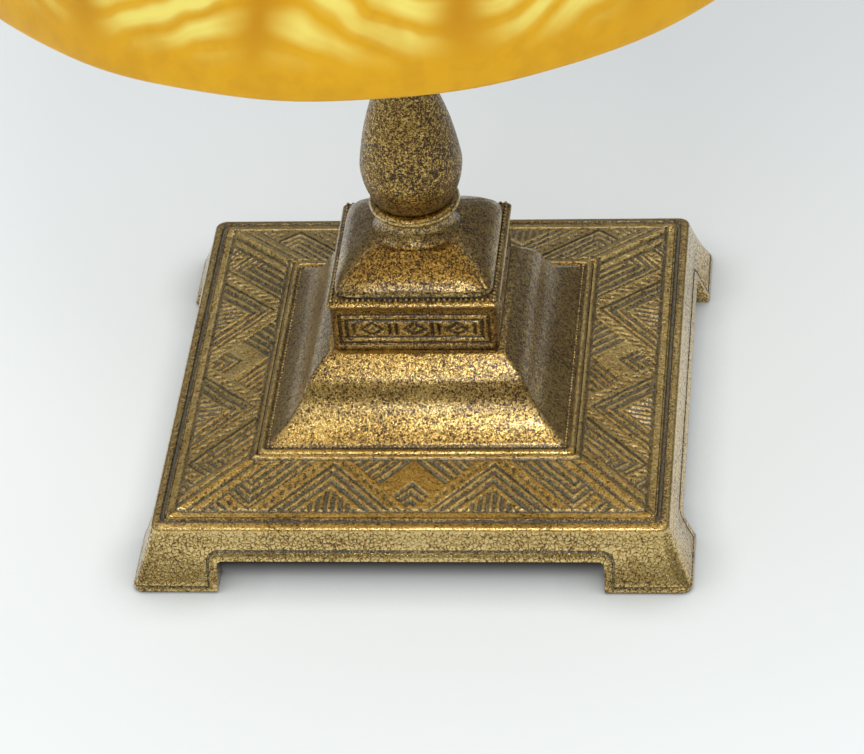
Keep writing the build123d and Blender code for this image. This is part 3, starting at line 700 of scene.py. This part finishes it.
def incised_line(turn):
    """Thin tube along one side of the skirt that cuts its border line."""
    low, high = LINE_FOOT, NOTCH_HEIGHT + LINE_OVER
    reach = skirt_half(low) - 0.4
    inner = NOTCH_HALF + LINE_INSET
    flat = [(reach, low), (inner, low), (inner, high - LINE_BEND)]
    flat += arc_rows(flat[-1], (inner - LINE_BEND, high), QUARTER_BOW * LINE_BEND, 6)
    flat += [(-x, z) for x, z in reversed(flat)]
    curve = bpy.data.curves.new("incised_line", "CURVE")
    curve.dimensions = "3D"
    curve.bevel_depth = LINE_RADIUS * MM
    curve.bevel_resolution = 2
    curve.use_fill_caps = True
    spline = curve.splines.new("POLY")
    spline.points.add(len(flat) - 1)
    for point, (x, z) in zip(spline.points, flat):
        point.co = (x * MM, -skirt_half(z) * MM, z * MM, 1)
    line = new_object("incised_line", curve)
    line.rotation_euler.z = turn
    pick(line)
    bpy.ops.object.convert(target="MESH")
    line = bpy.context.object
    settle(line)
    return line


def cut_away(piece, cutters):
    """Cut pieces out of a piece and remove the cutters."""
    for cutter in cutters:
        apply_modifier(piece, "BOOLEAN", "cut", operation="DIFFERENCE", object=cutter, solver="EXACT")
        bpy.data.objects.remove(cutter)


class LAMP_OT_cast_base(bpy.types.Operator):
    """Model the hollow base casting with its flared skirt, sunk band and ogee"""

    bl_idname = "lamp.cast_base"
    bl_label = "Cast base"

    def execute(self, context):
        piece = square_lathe(base_rows(), context.scene.lamp_relief.corner_round)
        cut_away(piece, [notch_cutter(0), notch_cutter(pi / 2)])
        cut_away(piece, [incised_line(side * pi / 2) for side in range(4)])
        ease_edges(piece, BASE_EASE)
        mark_points(piece, base_marks)
        join(piece, pearl_row(*PEARL_ROW, PEARL_RADIUS, PEARL_PITCH))
        smooth(piece)
        hand_in(piece, "cast_base", "base", "cast_gilt", ["base_casting"])
        return {"FINISHED"}


# The border relief, in millimetres
DOT_STEP = 3.1
PLAIN_CORE = (9.4, 15.2)
BORDER = 1.5
OUTER_BORDER = 2.5
MITRE = 1.5
MITRE_RISE = 0.35
CORNER_STRIP = 5.2
AT_EDGE = 0.01
BORDER_GRID = (420, 84)


def hatch(along, pitch):
    """Rounded ridges: 0 on the ridge, 1 in the groove."""
    return (0.5 - 0.5 * cos(2 * pi * along / pitch)) ** 1.2


def line_groove(distance, width):
    """Single groove of a width about distance 0."""
    return exp(-((distance / width) ** 2))


def band_groove(u, v, width, relief, seed):
    """Groove share at u along the band and v across it: a dotted zigzag with hatched fields between."""
    pitch = FIELD_OUTER_HALF / relief.zigzag_count
    place = (u + FIELD_OUTER_HALF) / pitch
    leg = floor(place)
    local = place - leg
    rising = leg % 2 == 0
    slope = sqrt(1 + (width / pitch) ** 2)
    crest = width * (local if rising else 1 - local)
    off = (v - crest) / slope
    strip = relief.strip_width / 2
    uneven = 0.45 * wander(u / 8, v / 8, seed)
    if abs(off) < strip:
        along = (u * slope + 0.4 * wander(u / 5, v / 5, seed)) / DOT_STEP
        pit = ((along - floor(along) - 0.5) * DOT_STEP) ** 2 + off**2
        return 0.95 * exp(-pit / 0.36)
    reach = abs(off)
    leaning = (leg + 1) // 2 % 2 == 0
    if off < 0 and leaning != rising:
        reach = (width * (1 + local if leg % 2 else 2 - local) - v) / slope
    lines = hatch(reach - strip + relief.groove_pitch * 0.5 + uneven, relief.groove_pitch)
    if off < 0:
        first, last = PLAIN_CORE
        return lines * (1 - ease(first, first + 0.5, reach) * ease(last, last - 0.5, reach))
    core = strip + 2.5 * relief.groove_pitch
    short = hatch(u + uneven, relief.groove_pitch * 0.9) * ease(core + 0.5, core + 1.1, reach)
    return short if reach > core else lines


def border_relief(side, relief):
    """One side of the sunk band: hatched zigzag between plain borders, mitred at the corners."""
    span = FIELD_OUTER_HALF - FIELD_INNER_HALF
    turn = Matrix.Rotation(side * pi / 2, 3, "Z")

    def place(s, t, rise):
        half = FIELD_INNER_HALF + (t + 1) / 2 * span
        return turn @ Vector((s * half, -half, band_height(half) - FIELD_DEPTH + rise))

    def height(s, t):
        v = (t + 1) / 2 * span
        half = FIELD_INNER_HALF + v
        u = s * half
        corner = (half - abs(u)) * sqrt(0.5)
        edge = min(v, span - v - OUTER_BORDER + BORDER)
        if min(v, span - v, corner) < AT_EDGE:
            return FIELD_DEPTH + (MITRE_RISE if corner < AT_EDGE and edge > BORDER else 0), 0, 0.3
        field = ease(BORDER - 0.1, BORDER + 0.5, edge) * ease(CORNER_STRIP - 0.2, CORNER_STRIP + 0.4, corner)
        groove = band_groove(u, v, span, relief, side * 3.7) * field
        frame_line = line_groove(edge - BORDER, 0.4)
        corner_line = max(line_groove(corner - MITRE - 0.6, 0.45), line_groove(corner - CORNER_STRIP, 0.45))
        groove = max(groove, 0.9 * frame_line, 0.9 * corner_line * ease(BORDER, BORDER + 1, edge))
        groove *= 0.85 + 0.3 * wander(u / 3, v / 3, side + 5)
        groove = min(1.0, max(0.0, groove))
        ridge = MITRE_RISE * ease(MITRE + 0.5, 0.4, corner)
        dimple = 0.07 * wander(u / 0.8, v / 0.8, side) + 0.12 * wander(u / 4, v / 4, side)
        rise = FIELD_DEPTH + ridge - relief.groove_depth * groove + dimple * ease(0, 1, min(v, span - v))
        return rise, groove, 0.55 * (1 - groove) * ease(0.6, 0.2, groove)

    return relief_slab(BORDER_GRID, place, height, FIELD_DEPTH + 0.6)


class LAMP_OT_border_relief(bpy.types.Operator):
    """Model the hatched relief on the four sides of the base"""

    bl_idname = "lamp.border_relief"
    bl_label = "Border relief"

    def execute(self, context):
        relief = context.scene.lamp_relief
        hand_in_sides(lambda side: border_relief(side, relief), "border_relief_", "relief_gilt")
        return {"FINISHED"}


# The pedestal block

BLOCK_HALF = LEDGE_HALF - 1.0
LEDGE_Z = BASE_TOP + 15.4
LEDGE_EDGE_Z = LEDGE_Z + 1.3
FRIEZE_WIDTH = 45.2
FRIEZE_HEIGHT = 11.4
FRIEZE_DEPTH = 0.7
FRIEZE_CUT = 0.6
FRIEZE_PITCH = 12.6
FRIEZE_Z = BASE_TOP + 7.7
FRIEZE_GRID = (168, 44)
LOZENGE = (2.9, 2.1)
PILLOW = (23.6, LEDGE_Z + 3.4)
PILLOW_SIDE = (23.2, PILLOW[1] + 1.6)
PILLOW_SHOULDER = (20.9, PILLOW[1] + 4.4)
PILLOW_CROWN = (17.2, PILLOW[1] + 7.1)
PILLOW_TOP = (13.4, BLOCK_TOP - 1.0)
PILLOW_POWERS = (14, 4)
BLOCK_CORNER_SHARE = 1.4
BLOCK_SIDE_CUTS = 15
BLOCK_EASE = 0.25
LEDGE_PEARL_ROW = (24.0, LEDGE_Z + 2.65)
LEDGE_PEARL_RADIUS = 0.55
LEDGE_PEARL_PITCH = 1.6


def block_rows():
    """Section of the pedestal block from its foot to the top of the pillow."""
    rows = [(BLOCK_HALF - 0.5, BASE_TOP), (BLOCK_HALF, BASE_TOP + 0.5), (BLOCK_HALF, LEDGE_Z - 0.5)]
    rows += [(BLOCK_HALF + 0.25, LEDGE_Z), (LEDGE_HALF - 0.25, LEDGE_Z + 0.7), (LEDGE_HALF, LEDGE_EDGE_Z)]
    rows += arc_rows(rows[-1], (PILLOW[0] + 0.3, LEDGE_Z + 2.5), -0.3, 5)
    for inset, rise in ((0.6, 2.65), (0.7, 2.95), (0.2, 3.15)):
        rows.append((PILLOW[0] - inset, LEDGE_Z + rise))
    return rows + curve_rows((PILLOW, PILLOW_SIDE, PILLOW_SHOULDER, PILLOW_CROWN, PILLOW_TOP), 5)


def block_marks(place):
    """Groove and ridge share at a point of the block: wear along its ledge."""
    half = max(abs(place.x), abs(place.y))
    return 0.0, 0.8 * ease(1.3, 0.4, hypot(half - LEDGE_HALF, place.z - LEDGE_EDGE_Z))


def frieze_recess(side):
    """Shallow box that sinks the frieze into one face of the block."""
    box = new_shape("cube", size=1, location=(0, -BLOCK_HALF * MM, FRIEZE_Z * MM),
                    scale=(FRIEZE_WIDTH * MM, 2 * FRIEZE_DEPTH * MM, FRIEZE_HEIGHT * MM))
    settle(box)
    box.rotation_euler.z = side * pi / 2
    settle(box)
    return box


class LAMP_OT_pedestal(bpy.types.Operator):
    """Model the square block under the stem, with its ledge and pillow top"""

    bl_idname = "lamp.pedestal"
    bl_label = "Pedestal block"

    def execute(self, context):
        corner = context.scene.lamp_relief.corner_round * BLOCK_CORNER_SHARE
        piece = square_lathe(block_rows(), corner, BLOCK_SIDE_CUTS)
        round_plan(piece, LEDGE_Z + 2.6, PILLOW_TOP[1], *PILLOW_POWERS)
        cut_away(piece, [frieze_recess(side) for side in range(4)])
        ease_edges(piece, BLOCK_EASE)
        mark_points(piece, block_marks)
        join(piece, pearl_row(*LEDGE_PEARL_ROW, LEDGE_PEARL_RADIUS, LEDGE_PEARL_PITCH))
        smooth(piece)
        hand_in(piece, "cast_pedestal", "base", "block_gilt", ["pedestal_block"])
        return {"FINISHED"}


def frieze_share(u, v):
    """Groove share on the frieze: a double frame round a row of lozenges and upright bars."""
    edge = min(FRIEZE_WIDTH / 2 - abs(u), FRIEZE_HEIGHT / 2 - abs(v))
    frames = max(line_groove(edge - 0.5, 0.5), line_groove(edge - 2.6, 0.46))
    local = u - floor(u / FRIEZE_PITCH + 0.5) * FRIEZE_PITCH
    lozenge = abs(local) / LOZENGE[0] + abs(v) / LOZENGE[1]
    ring = max(line_groove(lozenge - 1.0, 0.22), line_groove(lozenge, 0.2))
    bars = line_groove(abs(abs(local) - FRIEZE_PITCH / 2) - 1.0, 0.42) * ease(2.4, 1.9, abs(v))
    return min(1.0, max(frames, max(ring, bars) * ease(3.1, 3.5, edge)))


def frieze_relief(side):
    """One face of the block: the framed frieze."""
    turn = Matrix.Rotation(side * pi / 2, 3, "Z")

    def place(s, t, rise):
        face = BLOCK_HALF - FRIEZE_DEPTH + rise
        return turn @ Vector((s * FRIEZE_WIDTH / 2, -face, FRIEZE_Z + t * FRIEZE_HEIGHT / 2))

    def height(s, t):
        u, v = s * FRIEZE_WIDTH / 2, t * FRIEZE_HEIGHT / 2
        groove = frieze_share(u, v)
        edge = min(1 - abs(s), 1 - abs(t))
        rise = FRIEZE_DEPTH + 0.02 - FRIEZE_CUT * groove + 0.05 * wander(u, v, side)
        return (FRIEZE_DEPTH if edge < 0.001 else rise), groove, (1 - groove) * 0.4

    return relief_slab(FRIEZE_GRID, place, height, FRIEZE_DEPTH + 0.4)


class LAMP_OT_frieze_relief(bpy.types.Operator):
    """Model the small framed frieze on the four faces of the block"""

    bl_idname = "lamp.frieze_relief"
    bl_label = "Frieze relief"

    def execute(self, context):
        hand_in_sides(frieze_relief, "frieze_relief_", "frieze_gilt")
        return {"FINISHED"}


# The stem

COLLAR_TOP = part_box("stem_collar")[1].z / MM
STEM_LOW, STEM_HIGH = (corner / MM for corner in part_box("stem_baluster"))
CAP_LOW, CAP_HIGH = (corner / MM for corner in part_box("stem_cap"))
PIPE_BORE = 5.0
STEM_DROP = 0.9
COLLAR_FOOT = 15.8
COLLAR_NECK = 10.4
RING_CENTRE = 11.7


def collar_rows():
    """Hollow neck on the pillow and a half-round ring under the stem."""
    low, high = PILLOW_TOP[1] - 1.6, COLLAR_TOP - STEM_DROP
    bead = high - 2.1
    rows = [(PIPE_BORE, low), (COLLAR_FOOT, low)]
    rows += arc_rows(rows[-1], (COLLAR_NECK, bead - 2.6), 1.3, 12)
    rows += [(COLLAR_NECK + 0.2, bead - 2.0)]
    for step in range(11):
        turn = -pi / 2 + pi * step / 10
        rows.append((RING_CENTRE + 1.8 * cos(turn), bead + 0.1 + 1.7 * sin(turn)))
    rows += [(COLLAR_NECK + 0.4, high - 0.1), (PIPE_BORE, high - 0.1)]
    return rows + [rows[0]]


def collar_marks(place):
    """Groove and ridge share at a point of the collar: wear round its ring."""
    on_ring = ease(RING_CENTRE + 0.7, RING_CENTRE + 1.5, hypot(place.x, place.y))
    return 0.0, 0.7 * on_ring * ease(-6, -4, place.z - COLLAR_TOP)


def stem_rows():
    """Vase-shaped stem from its foot to its neck."""
    low, high = STEM_LOW.z, STEM_HIGH.z
    side = [(10.6, low - STEM_DROP), (11.8, low - 0.5), (14.0, low + 4.4), (15.0, low + 9.6),
            (14.8, low + 13.6), (13.3, low + 22.0), (11.8, low + 27.8), (10.2, low + 33.0), (8.2, low + 40.5),
            (7.1, low + 48.0), (7.0, high)]
    foot = (PIPE_BORE, low - STEM_DROP)
    return [foot] + curve_rows(side, 5) + [(PIPE_BORE, high), foot]


def stem_cap_rows():
    """Flared cup with a rounded rim, on top of the stem."""
    low, high = CAP_LOW.z, CAP_HIGH.z
    side = [(8.0, low), (8.6, low + 0.8), (7.9, low + 1.8), (8.4, low + 4.0), (10.4, low + 6.6),
            (13.6, high - 2.6), (14.9, high - 1.9), (15.0, high - 1.0), (14.6, high - 0.2), (14.0, high)]
    return [(PIPE_BORE, low)] + curve_rows(side, 4) + [(PIPE_BORE, high), (PIPE_BORE, low)]


class LAMP_OT_turned_stem(bpy.types.Operator):
    """Turn the collar, the baluster and the cup of the stem"""

    bl_idname = "lamp.turned_stem"
    bl_label = "Turned stem"

    def execute(self, context):
        for name, node, finish, rows in (("turned_collar", "stem_collar", "block_gilt", collar_rows()),
                                         ("turned_baluster", "stem_baluster", "stem_gilt", stem_rows()),
                                         ("turned_cup", "stem_cap", "stem_gilt", stem_cap_rows())):
            piece = turned(rows)
            if node == "stem_collar":
                mark_points(piece, collar_marks)
            smooth(piece)
            hand_in(piece, name, "base", finish, [node])
        return {"FINISHED"}


# The shade and its fittings

SHADE_LOW, SHADE_HIGH = (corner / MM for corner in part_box("glass_shade"))
SHADE_RADIUS = SHADE_HIGH.x
SHADE_WALL = 4.0
SHADE_SIDE_RADIUS = 110.0
SHADE_SIDE_TURN = radians(60)
SHADE_CROWN_RADIUS = 140.0
SHADE_HOLE_RADIUS = 25.0
SHADE_RIM_Z = SHADE_LOW.z + SHADE_WALL / 2
SIDE_CENTRE = SHADE_RADIUS - SHADE_SIDE_RADIUS
CROWN_BACK = SHADE_CROWN_RADIUS - SHADE_SIDE_RADIUS
CROWN_CENTRE = SIDE_CENTRE - CROWN_BACK * cos(SHADE_SIDE_TURN)
CROWN_Z = SHADE_RIM_Z - CROWN_BACK * sin(SHADE_SIDE_TURN)
WALL_WOBBLE = 0.25
RIB_FADE = (4.0, 45.0)
GLASS_STEPS = 192


def dome_rows(inset, top_z, side_steps=22, crown_steps=14):
    """Section of the dome from its rim to a height, moved inwards by inset."""
    rows = []
    side = SHADE_SIDE_RADIUS - inset
    for step in range(side_steps):
        turn = SHADE_SIDE_TURN * step / side_steps
        rows.append((SIDE_CENTRE + side * cos(turn), SHADE_RIM_Z + side * sin(turn)))
    crown = SHADE_CROWN_RADIUS - inset
    last = asin((top_z - CROWN_Z) / crown)
    for step in range(crown_steps + 1):
        turn = SHADE_SIDE_TURN + (last - SHADE_SIDE_TURN) * step / crown_steps
        rows.append((CROWN_CENTRE + crown * cos(turn), CROWN_Z + crown * sin(turn)))
    return rows


def shade_rows():
    """Closed section of the glass: outside, ledge, hole, inside and rounded rim."""
    top = SHADE_HIGH.z
    outside = dome_rows(0, top)
    inside = dome_rows(SHADE_WALL, top - SHADE_WALL)
    rim = []
    for step in range(1, 6):
        turn = -pi * step / 6
        rim.append((SHADE_RADIUS - SHADE_WALL / 2 - SHADE_WALL / 2 * cos(turn),
                    SHADE_RIM_Z + SHADE_WALL / 2 * sin(turn)))
    ledge = [(SHADE_HOLE_RADIUS, top), (SHADE_HOLE_RADIUS, top - SHADE_WALL)]
    return outside + ledge + inside[::-1] + rim + [outside[0]]


class LAMP_OT_glass_shade(bpy.types.Operator):
    """Blow the amber glass dome with its soft ribs"""

    bl_idname = "lamp.glass_shade"
    bl_label = "Glass shade"

    def execute(self, context):
        relief = context.scene.lamp_relief
        piece = turned(shade_rows(), GLASS_STEPS)
        ribs = 2 * relief.comb_waves
        first, last = (SHADE_HIGH.z - drop for drop in RIB_FADE)
        for vertex in piece.data.vertices:
            x, y, z = vertex.co / MM
            radius = hypot(x, y)
            around = atan2(y, x)
            lift = ease(first, last, z)
            shrink = relief.rib_depth * lift * (0.5 - 0.5 * cos(ribs * around + pi / 2))
            wobble = WALL_WOBBLE * lift * wander(3 * cos(around), 3 * sin(around), z / 60)
            scale = (radius - shrink - abs(wobble)) / radius
            vertex.co.x *= scale
            vertex.co.y *= scale
        smooth(piece, GLASS_ANGLE)
        middle = Vector((0, 0, SHADE_RIM_Z * MM))
        lining = [float(vertex.normal.dot(vertex.co - middle) < 0) for vertex in piece.data.vertices]
        write_share(piece, "lining", lining)
        hand_in(piece, "blown_shade", "shade", "combed_glass", ["glass_shade"])
        return {"FINISHED"}


# The combed pattern of the glass, in millimetres
COMB_START = radians(152)
COMB_SWING = 10.5
STREAK_SWING = 14.0
WAVE_PITCH = 9.5
THREAD_PITCH = 2.1
PLAIN_RIM = (6.0, 19.0)
BAR_RIM = (2.0, 22.0)
LINING_SHARE = 0.75
PAINTED_GLASS_GLOW = 0.28


def pale_waves(where, height, comb, bars):
    """Share of the pale opal: waves that rise and fall with the comb and fade at the rim and the bars."""
    lift = height - comb.maths("SINE") * (COMB_SWING * MM)
    lift += (where.grain(26.0) - 0.5) * (STREAK_SWING * MM)
    band = (lift * (2 * pi / (WAVE_PITCH * MM))).maths("SINE")
    thread = (lift * (2 * pi / (THREAD_PITCH * MM))).maths("SINE")
    patch = where.grain(17.0).step(0.30, 0.54, 0.55, 1.0)
    pale = band.step(-1.3, 0.9) * patch + thread * 0.025
    low, high = PLAIN_RIM
    return (pale * height.step(low * MM, high * MM) * bars.step(0.0, 0.8)).or_more(0.0)


def comb_material(finish, relief):
    """Amber glass with pale waves combed up and down round the dome, with a painted glow as if lit from
    inside.
    """
    tree, shader = new_material("combed_glass")
    where, x, y, z = place_signals(tree, "Object")
    height = z - SHADE_RIM_Z * MM
    swirl = (where.grain(45.0) - 0.5) * 0.16 + x.maths("ARCTAN2", y * -1.0)
    comb = swirl * relief.comb_waves + COMB_START
    bars = abs(comb.maths("COSINE"))
    low, high = BAR_RIM
    bar = bars.step(0.75, 0.0) * height.step(low * MM, high * MM, 0.15, 0.85)
    cloud = where.grain(11.0, 3.0, 0.6).step(0.35, 0.65, 0.0, 0.35)
    colour = bar.or_more(cloud).blend(finish.amber, finish.honey)
    colour = pale_waves(where, height, comb, bars).blend(colour, finish.pale)
    # Pale lining inside the dome, a guessed opal casing; because the glow takes this colour too, it also
    # paints brighter light inside the dome
    colour = (point_share(tree, "lining") * LINING_SHARE).blend(colour, finish.lining)
    # The glow is painted light: emission in the glass's own colours stands in for light shining through the
    # glass
    feed(shader, {"Base Color": colour, "Emission Color": colour, "Emission Strength": PAINTED_GLASS_GLOW,
                  "Roughness": 0.32, "Specular IOR Level": 0.15})
    add_bump(shader, where.grain(14.0), 0.35, 0.5)


class LAMP_OT_finishes(bpy.types.Operator):
    """Mix the lamp's finishes"""

    bl_idname = "lamp.finishes"
    bl_label = "Finishes"

    def execute(self, context):
        finish = context.scene.lamp_finish
        patina = patina_group(finish, crevice_group())
        patina_material("cast_gilt", patina, 0.55, 0.6, coat=0.8)
        # relief_gilt has more worn gilt on the ridges, raised further as painted light so the band reads
        # brighter
        patina_material("relief_gilt", patina, 0.66, 0.95, matt=0.1, coat=0.6, bump_mm=0.16)
        patina_material("frieze_gilt", patina, 0.46, 0.05)
        patina_material("block_gilt", patina, 0.51, 0.5, coat=0.8)
        # stem_gilt is a darker copy of the cast gilt: painted shade for the stem under the shade; the heat
        # cap and finial use it too
        patina_material("stem_gilt", patina, 0.42, 0.4, coat=0.3)
        comb_material(finish, context.scene.lamp_relief)
        plain_material("aged_brass", finish.brass, 1.0, 0.34, 0.9)
        plain_material("zinc_steel", (0.42, 0.41, 0.39, 1), 1.0, 0.42, 0.6)
        plain_material("raw_iron", (0.045, 0.043, 0.042, 1), 0.6, 0.7, 1.2, bump_mm=0.3)
        plain_material("glazed_porcelain", (0.78, 0.75, 0.68, 1), 0.0, 0.22, 2.0, 0.1, 0.02, 0.9)
        plain_material("fibre_card", (0.20, 0.12, 0.06, 1), 0.0, 0.8, 0.7, 0.1, 0.1)
        plain_material("black_fibre", (0.02, 0.018, 0.016, 1), 0.0, 0.55, 0.8)
        plain_material("wire_cover", (0.16, 0.10, 0.035, 1), 0.0, 0.7, 0.5)
        plain_material("frosted_glass", (0.86, 0.84, 0.78, 1), 0.0, 0.45, 3.0, 0.1, 0.02, 0.94)
        plain_material("bulb_metal", (0.62, 0.60, 0.56, 1), 1.0, 0.35, 0.8)
        plain_material("dark_glass", (0.012, 0.012, 0.016, 1), 0.0, 0.2, 2.0, 0.1)
        plain_material("pressed_felt", (0.07, 0.055, 0.045, 1), 0.0, 0.9, 0.4, 0.1, 0.2)
        return {"FINISHED"}


NODE_FINISHES = {
    "aged_brass": ["harp_saddle", "harp_loop", "harp_stud", "harp_ferrule_left", "harp_ferrule_right",
                   "socket_cap", "socket_shell", "shade_seat", "switch_key", "screw_shell", "centre_contact"],
    "stem_gilt": ["heat_cap", "finial"],
    "zinc_steel": ["tie_pipe", "foot_washer", "foot_locknut", "terminal_screws", "switch_spindle",
                   "bulb_contact", "bulb_leads", "bulb_filament"],
    "raw_iron": ["base_weight"],
    "glazed_porcelain": ["socket_body"],
    "fibre_card": ["shell_liner"],
    "black_fibre": ["cord_bush"],
    "wire_cover": ["wire_pair"],
    "frosted_glass": ["bulb_envelope", "bulb_stem"],
    "bulb_metal": ["bulb_cap"],
    "dark_glass": ["bulb_insulator"],
    "pressed_felt": ["seat_gasket", "cap_gasket"],
}


class LAMP_OT_dress_fittings(bpy.types.Operator):
    """Give every carried-over fitting its finish"""

    bl_idname = "lamp.dress_fittings"
    bl_label = "Dress fittings"

    def execute(self, context):
        for finish, nodes in NODE_FINISHES.items():
            for name in nodes:
                dress(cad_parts[name].data, finish)
        return {"FINISHED"}


# The studio

CAMERA_PLACE = (0.14235, -0.94856, 0.76988)
CAMERA_AZIMUTH = radians(8.527)
CAMERA_ELEVATION = radians(38.189)
CAMERA_ROLL = radians(-5.481)
CAMERA_LENS = 166.75
CAMERA_SENSOR = 36.0
FLOOR_SIZE = 8.0
FLOOR_GLOW = (0.965, 1.0, 1.0, 1)
BASE_SHADOW = (0.067, 0.079)
CONTACT_SHADOW_REACH = 0.016
WORLD_LOW = (0.11, 0.12, 0.125, 1)
WORLD_HIGH = (0.95, 0.98, 1.0, 1)
WORLD_STRENGTH = 0.82
LIGHT_TARGET = (0, 0, 0.08)
LIGHTS = (
    ("low_light", (-0.12, -1.40, 1.00), 0.30, 2.4, (1.0, 0.98, 0.95)),
    ("high_light", (0.24, -0.98, 1.54), 0.50, 10.5, (1.0, 0.98, 0.95)),
    ("top_light", (0.0, 0.46, 1.85), 1.4, 12.5, (1.0, 1.0, 1.0)),
    ("left_light", (-1.5, -0.5, 0.9), 0.9, 2.0, (0.95, 0.98, 1.0)),
)


def camera_turn():
    """Rotation of the camera from its azimuth, elevation and roll."""
    level = cos(CAMERA_ELEVATION)
    back = Vector((sin(CAMERA_AZIMUTH) * level, -cos(CAMERA_AZIMUTH) * level, sin(CAMERA_ELEVATION)))
    right = Vector((0, 0, 1)).cross(back).normalized()
    up = back.cross(right)
    turned_right = right * cos(CAMERA_ROLL) + up * sin(CAMERA_ROLL)
    turned_up = up * cos(CAMERA_ROLL) - right * sin(CAMERA_ROLL)
    return Matrix((turned_right, turned_up, back)).transposed().to_euler()


def soft_light(name, place, size, power, colour):
    """Square soft light aimed at the lamp."""
    data = bpy.data.lights.new(name, "AREA")
    data.size = size
    data.energy = power
    data.color = colour
    light = new_object(name, data)
    light.location = place
    light.visible_camera = False
    light.rotation_euler = (Vector(LIGHT_TARGET) - light.location).to_track_quat("-Z", "Y").to_euler()


def mixed_shader(share, first, second):
    """Two shaders mixed by a share."""
    node = add_node(share.tree, "MixShader")
    feed(node, {0: share, 1: first, 2: second})
    return Signal(node)


def paper_material(paper):
    """Pale floor paper with a painted glow that fades towards the rear right, painted shadow round the feet
    and under the base, clear from below.
    """
    tree, shader = new_material("studio_paper")
    feed(shader, {"Base Color": paper, "Roughness": 0.9, "Specular IOR Level": 0.1})
    _, x, y, _ = place_signals(tree, "Object")
    open_floor = abs(x).or_more(abs(y)).step(*BASE_SHADOW)
    contact = add_node(tree, "AmbientOcclusion", samples=8)
    feed(contact, {"Distance": CONTACT_SHADOW_REACH})
    # Painted light: the glow fades towards the rear right; painted shadow: it is cut off under the base
    painted_floor_light = (x * -0.9 + y * -1.5 + 0.98).step(0.2, 1.25, 0.38, 1.0) * open_floor
    # Painted contact shadow: the glow darkens where the floor is occluded
    painted_floor_light *= Signal(contact, "AO").maths("POWER", 2.0)
    glow = add_node(tree, "Emission")
    feed(glow, {"Color": painted_floor_light.blend((0, 0, 0, 1), FLOOR_GLOW)})
    path = add_node(tree, "LightPath")
    seen = Signal(path, "Is Camera Ray").or_more(Signal(path, "Is Glossy Ray"))
    seen = seen.or_more(Signal(path, "Is Transmission Ray"))
    # Under the base the black glow takes a larger share, so the painted shadow there is darker
    lit = mixed_shader(seen * open_floor.mix(0.88, 0.55), Signal(shader), Signal(glow))
    below = Signal(add_node(tree, "NewGeometry"), "Backfacing")
    surface = mixed_shader(below, lit, Signal(add_node(tree, "BsdfTransparent")))
    feed(tree.nodes["Material Output"], {"Surface": surface})


def studio_world():
    """Surroundings that grow lighter overhead."""
    world = bpy.data.worlds.new("studio_world")
    world.use_nodes = True
    tree = world.node_tree
    _, _, _, z = place_signals(tree, "Generated")
    colour = z.step(0.3, 0.95).blend(WORLD_LOW, WORLD_HIGH)
    feed(tree.nodes["Background"], {"Color": colour, "Strength": WORLD_STRENGTH})
    return world


def photo_camera():
    """Camera at the photo's place, with its turn and lens."""
    lens = bpy.data.cameras.new("photo_camera")
    lens.sensor_fit = "HORIZONTAL"
    lens.sensor_width = CAMERA_SENSOR
    lens.lens = CAMERA_LENS
    camera = new_object("photo_camera", lens)
    camera.location = CAMERA_PLACE
    camera.rotation_euler = camera_turn()
    return camera


class LAMP_OT_studio(bpy.types.Operator):
    """Set up the pale floor, the soft lights and the camera"""

    bl_idname = "lamp.studio"
    bl_label = "Studio"

    def execute(self, context):
        scene = context.scene
        floor_piece = new_shape("plane", size=FLOOR_SIZE)
        floor_piece.name = "studio_floor"
        paper_material(scene.lamp_finish.paper)
        dress(floor_piece.data, "studio_paper")
        scene.world = studio_world()
        for light in LIGHTS:
            soft_light(*light)
        scene.camera = photo_camera()
        scene.view_settings.view_transform = "Standard"
        return {"FINISHED"}


OPERATORS = (
    LAMP_OT_finishes,
    LAMP_OT_cast_base,
    LAMP_OT_border_relief,
    LAMP_OT_pedestal,
    LAMP_OT_frieze_relief,
    LAMP_OT_turned_stem,
    LAMP_OT_glass_shade,
    LAMP_OT_dress_fittings,
    LAMP_OT_studio,
)


class LAMP_PT_panel(bpy.types.Panel):
    """Lamp steps and settings in the sidebar"""

    bl_idname = "LAMP_PT_panel"
    bl_label = "Gilt Table Lamp"
    bl_space_type = "VIEW_3D"
    bl_region_type = "UI"
    bl_category = "Lamp"

    def draw(self, context):
        for settings in (context.scene.lamp_relief, context.scene.lamp_finish):
            box = self.layout.box()
            for name in settings.__annotations__:
                box.prop(settings, name)
        for operator in OPERATORS:
            self.layout.operator(operator.bl_idname)


CLASSES = (LampReliefSettings, LampFinishSettings) + OPERATORS + (LAMP_PT_panel,)


def register():
    """Register the classes and the scene's settings."""
    for item in CLASSES:
        bpy.utils.register_class(item)
    bpy.types.Scene.lamp_relief = bpy.props.PointerProperty(type=LampReliefSettings)
    bpy.types.Scene.lamp_finish = bpy.props.PointerProperty(type=LampFinishSettings)


def unregister():
    """Remove the settings and the classes."""
    del bpy.types.Scene.lamp_finish
    del bpy.types.Scene.lamp_relief
    for item in reversed(CLASSES):
        bpy.utils.unregister_class(item)


def main():
    """Build the dressed lamp."""
    register()
    for operator in OPERATORS:
        area, name = operator.bl_idname.split(".")
        getattr(getattr(bpy.ops, area), name)()


if __name__ == "__main__":
    main()
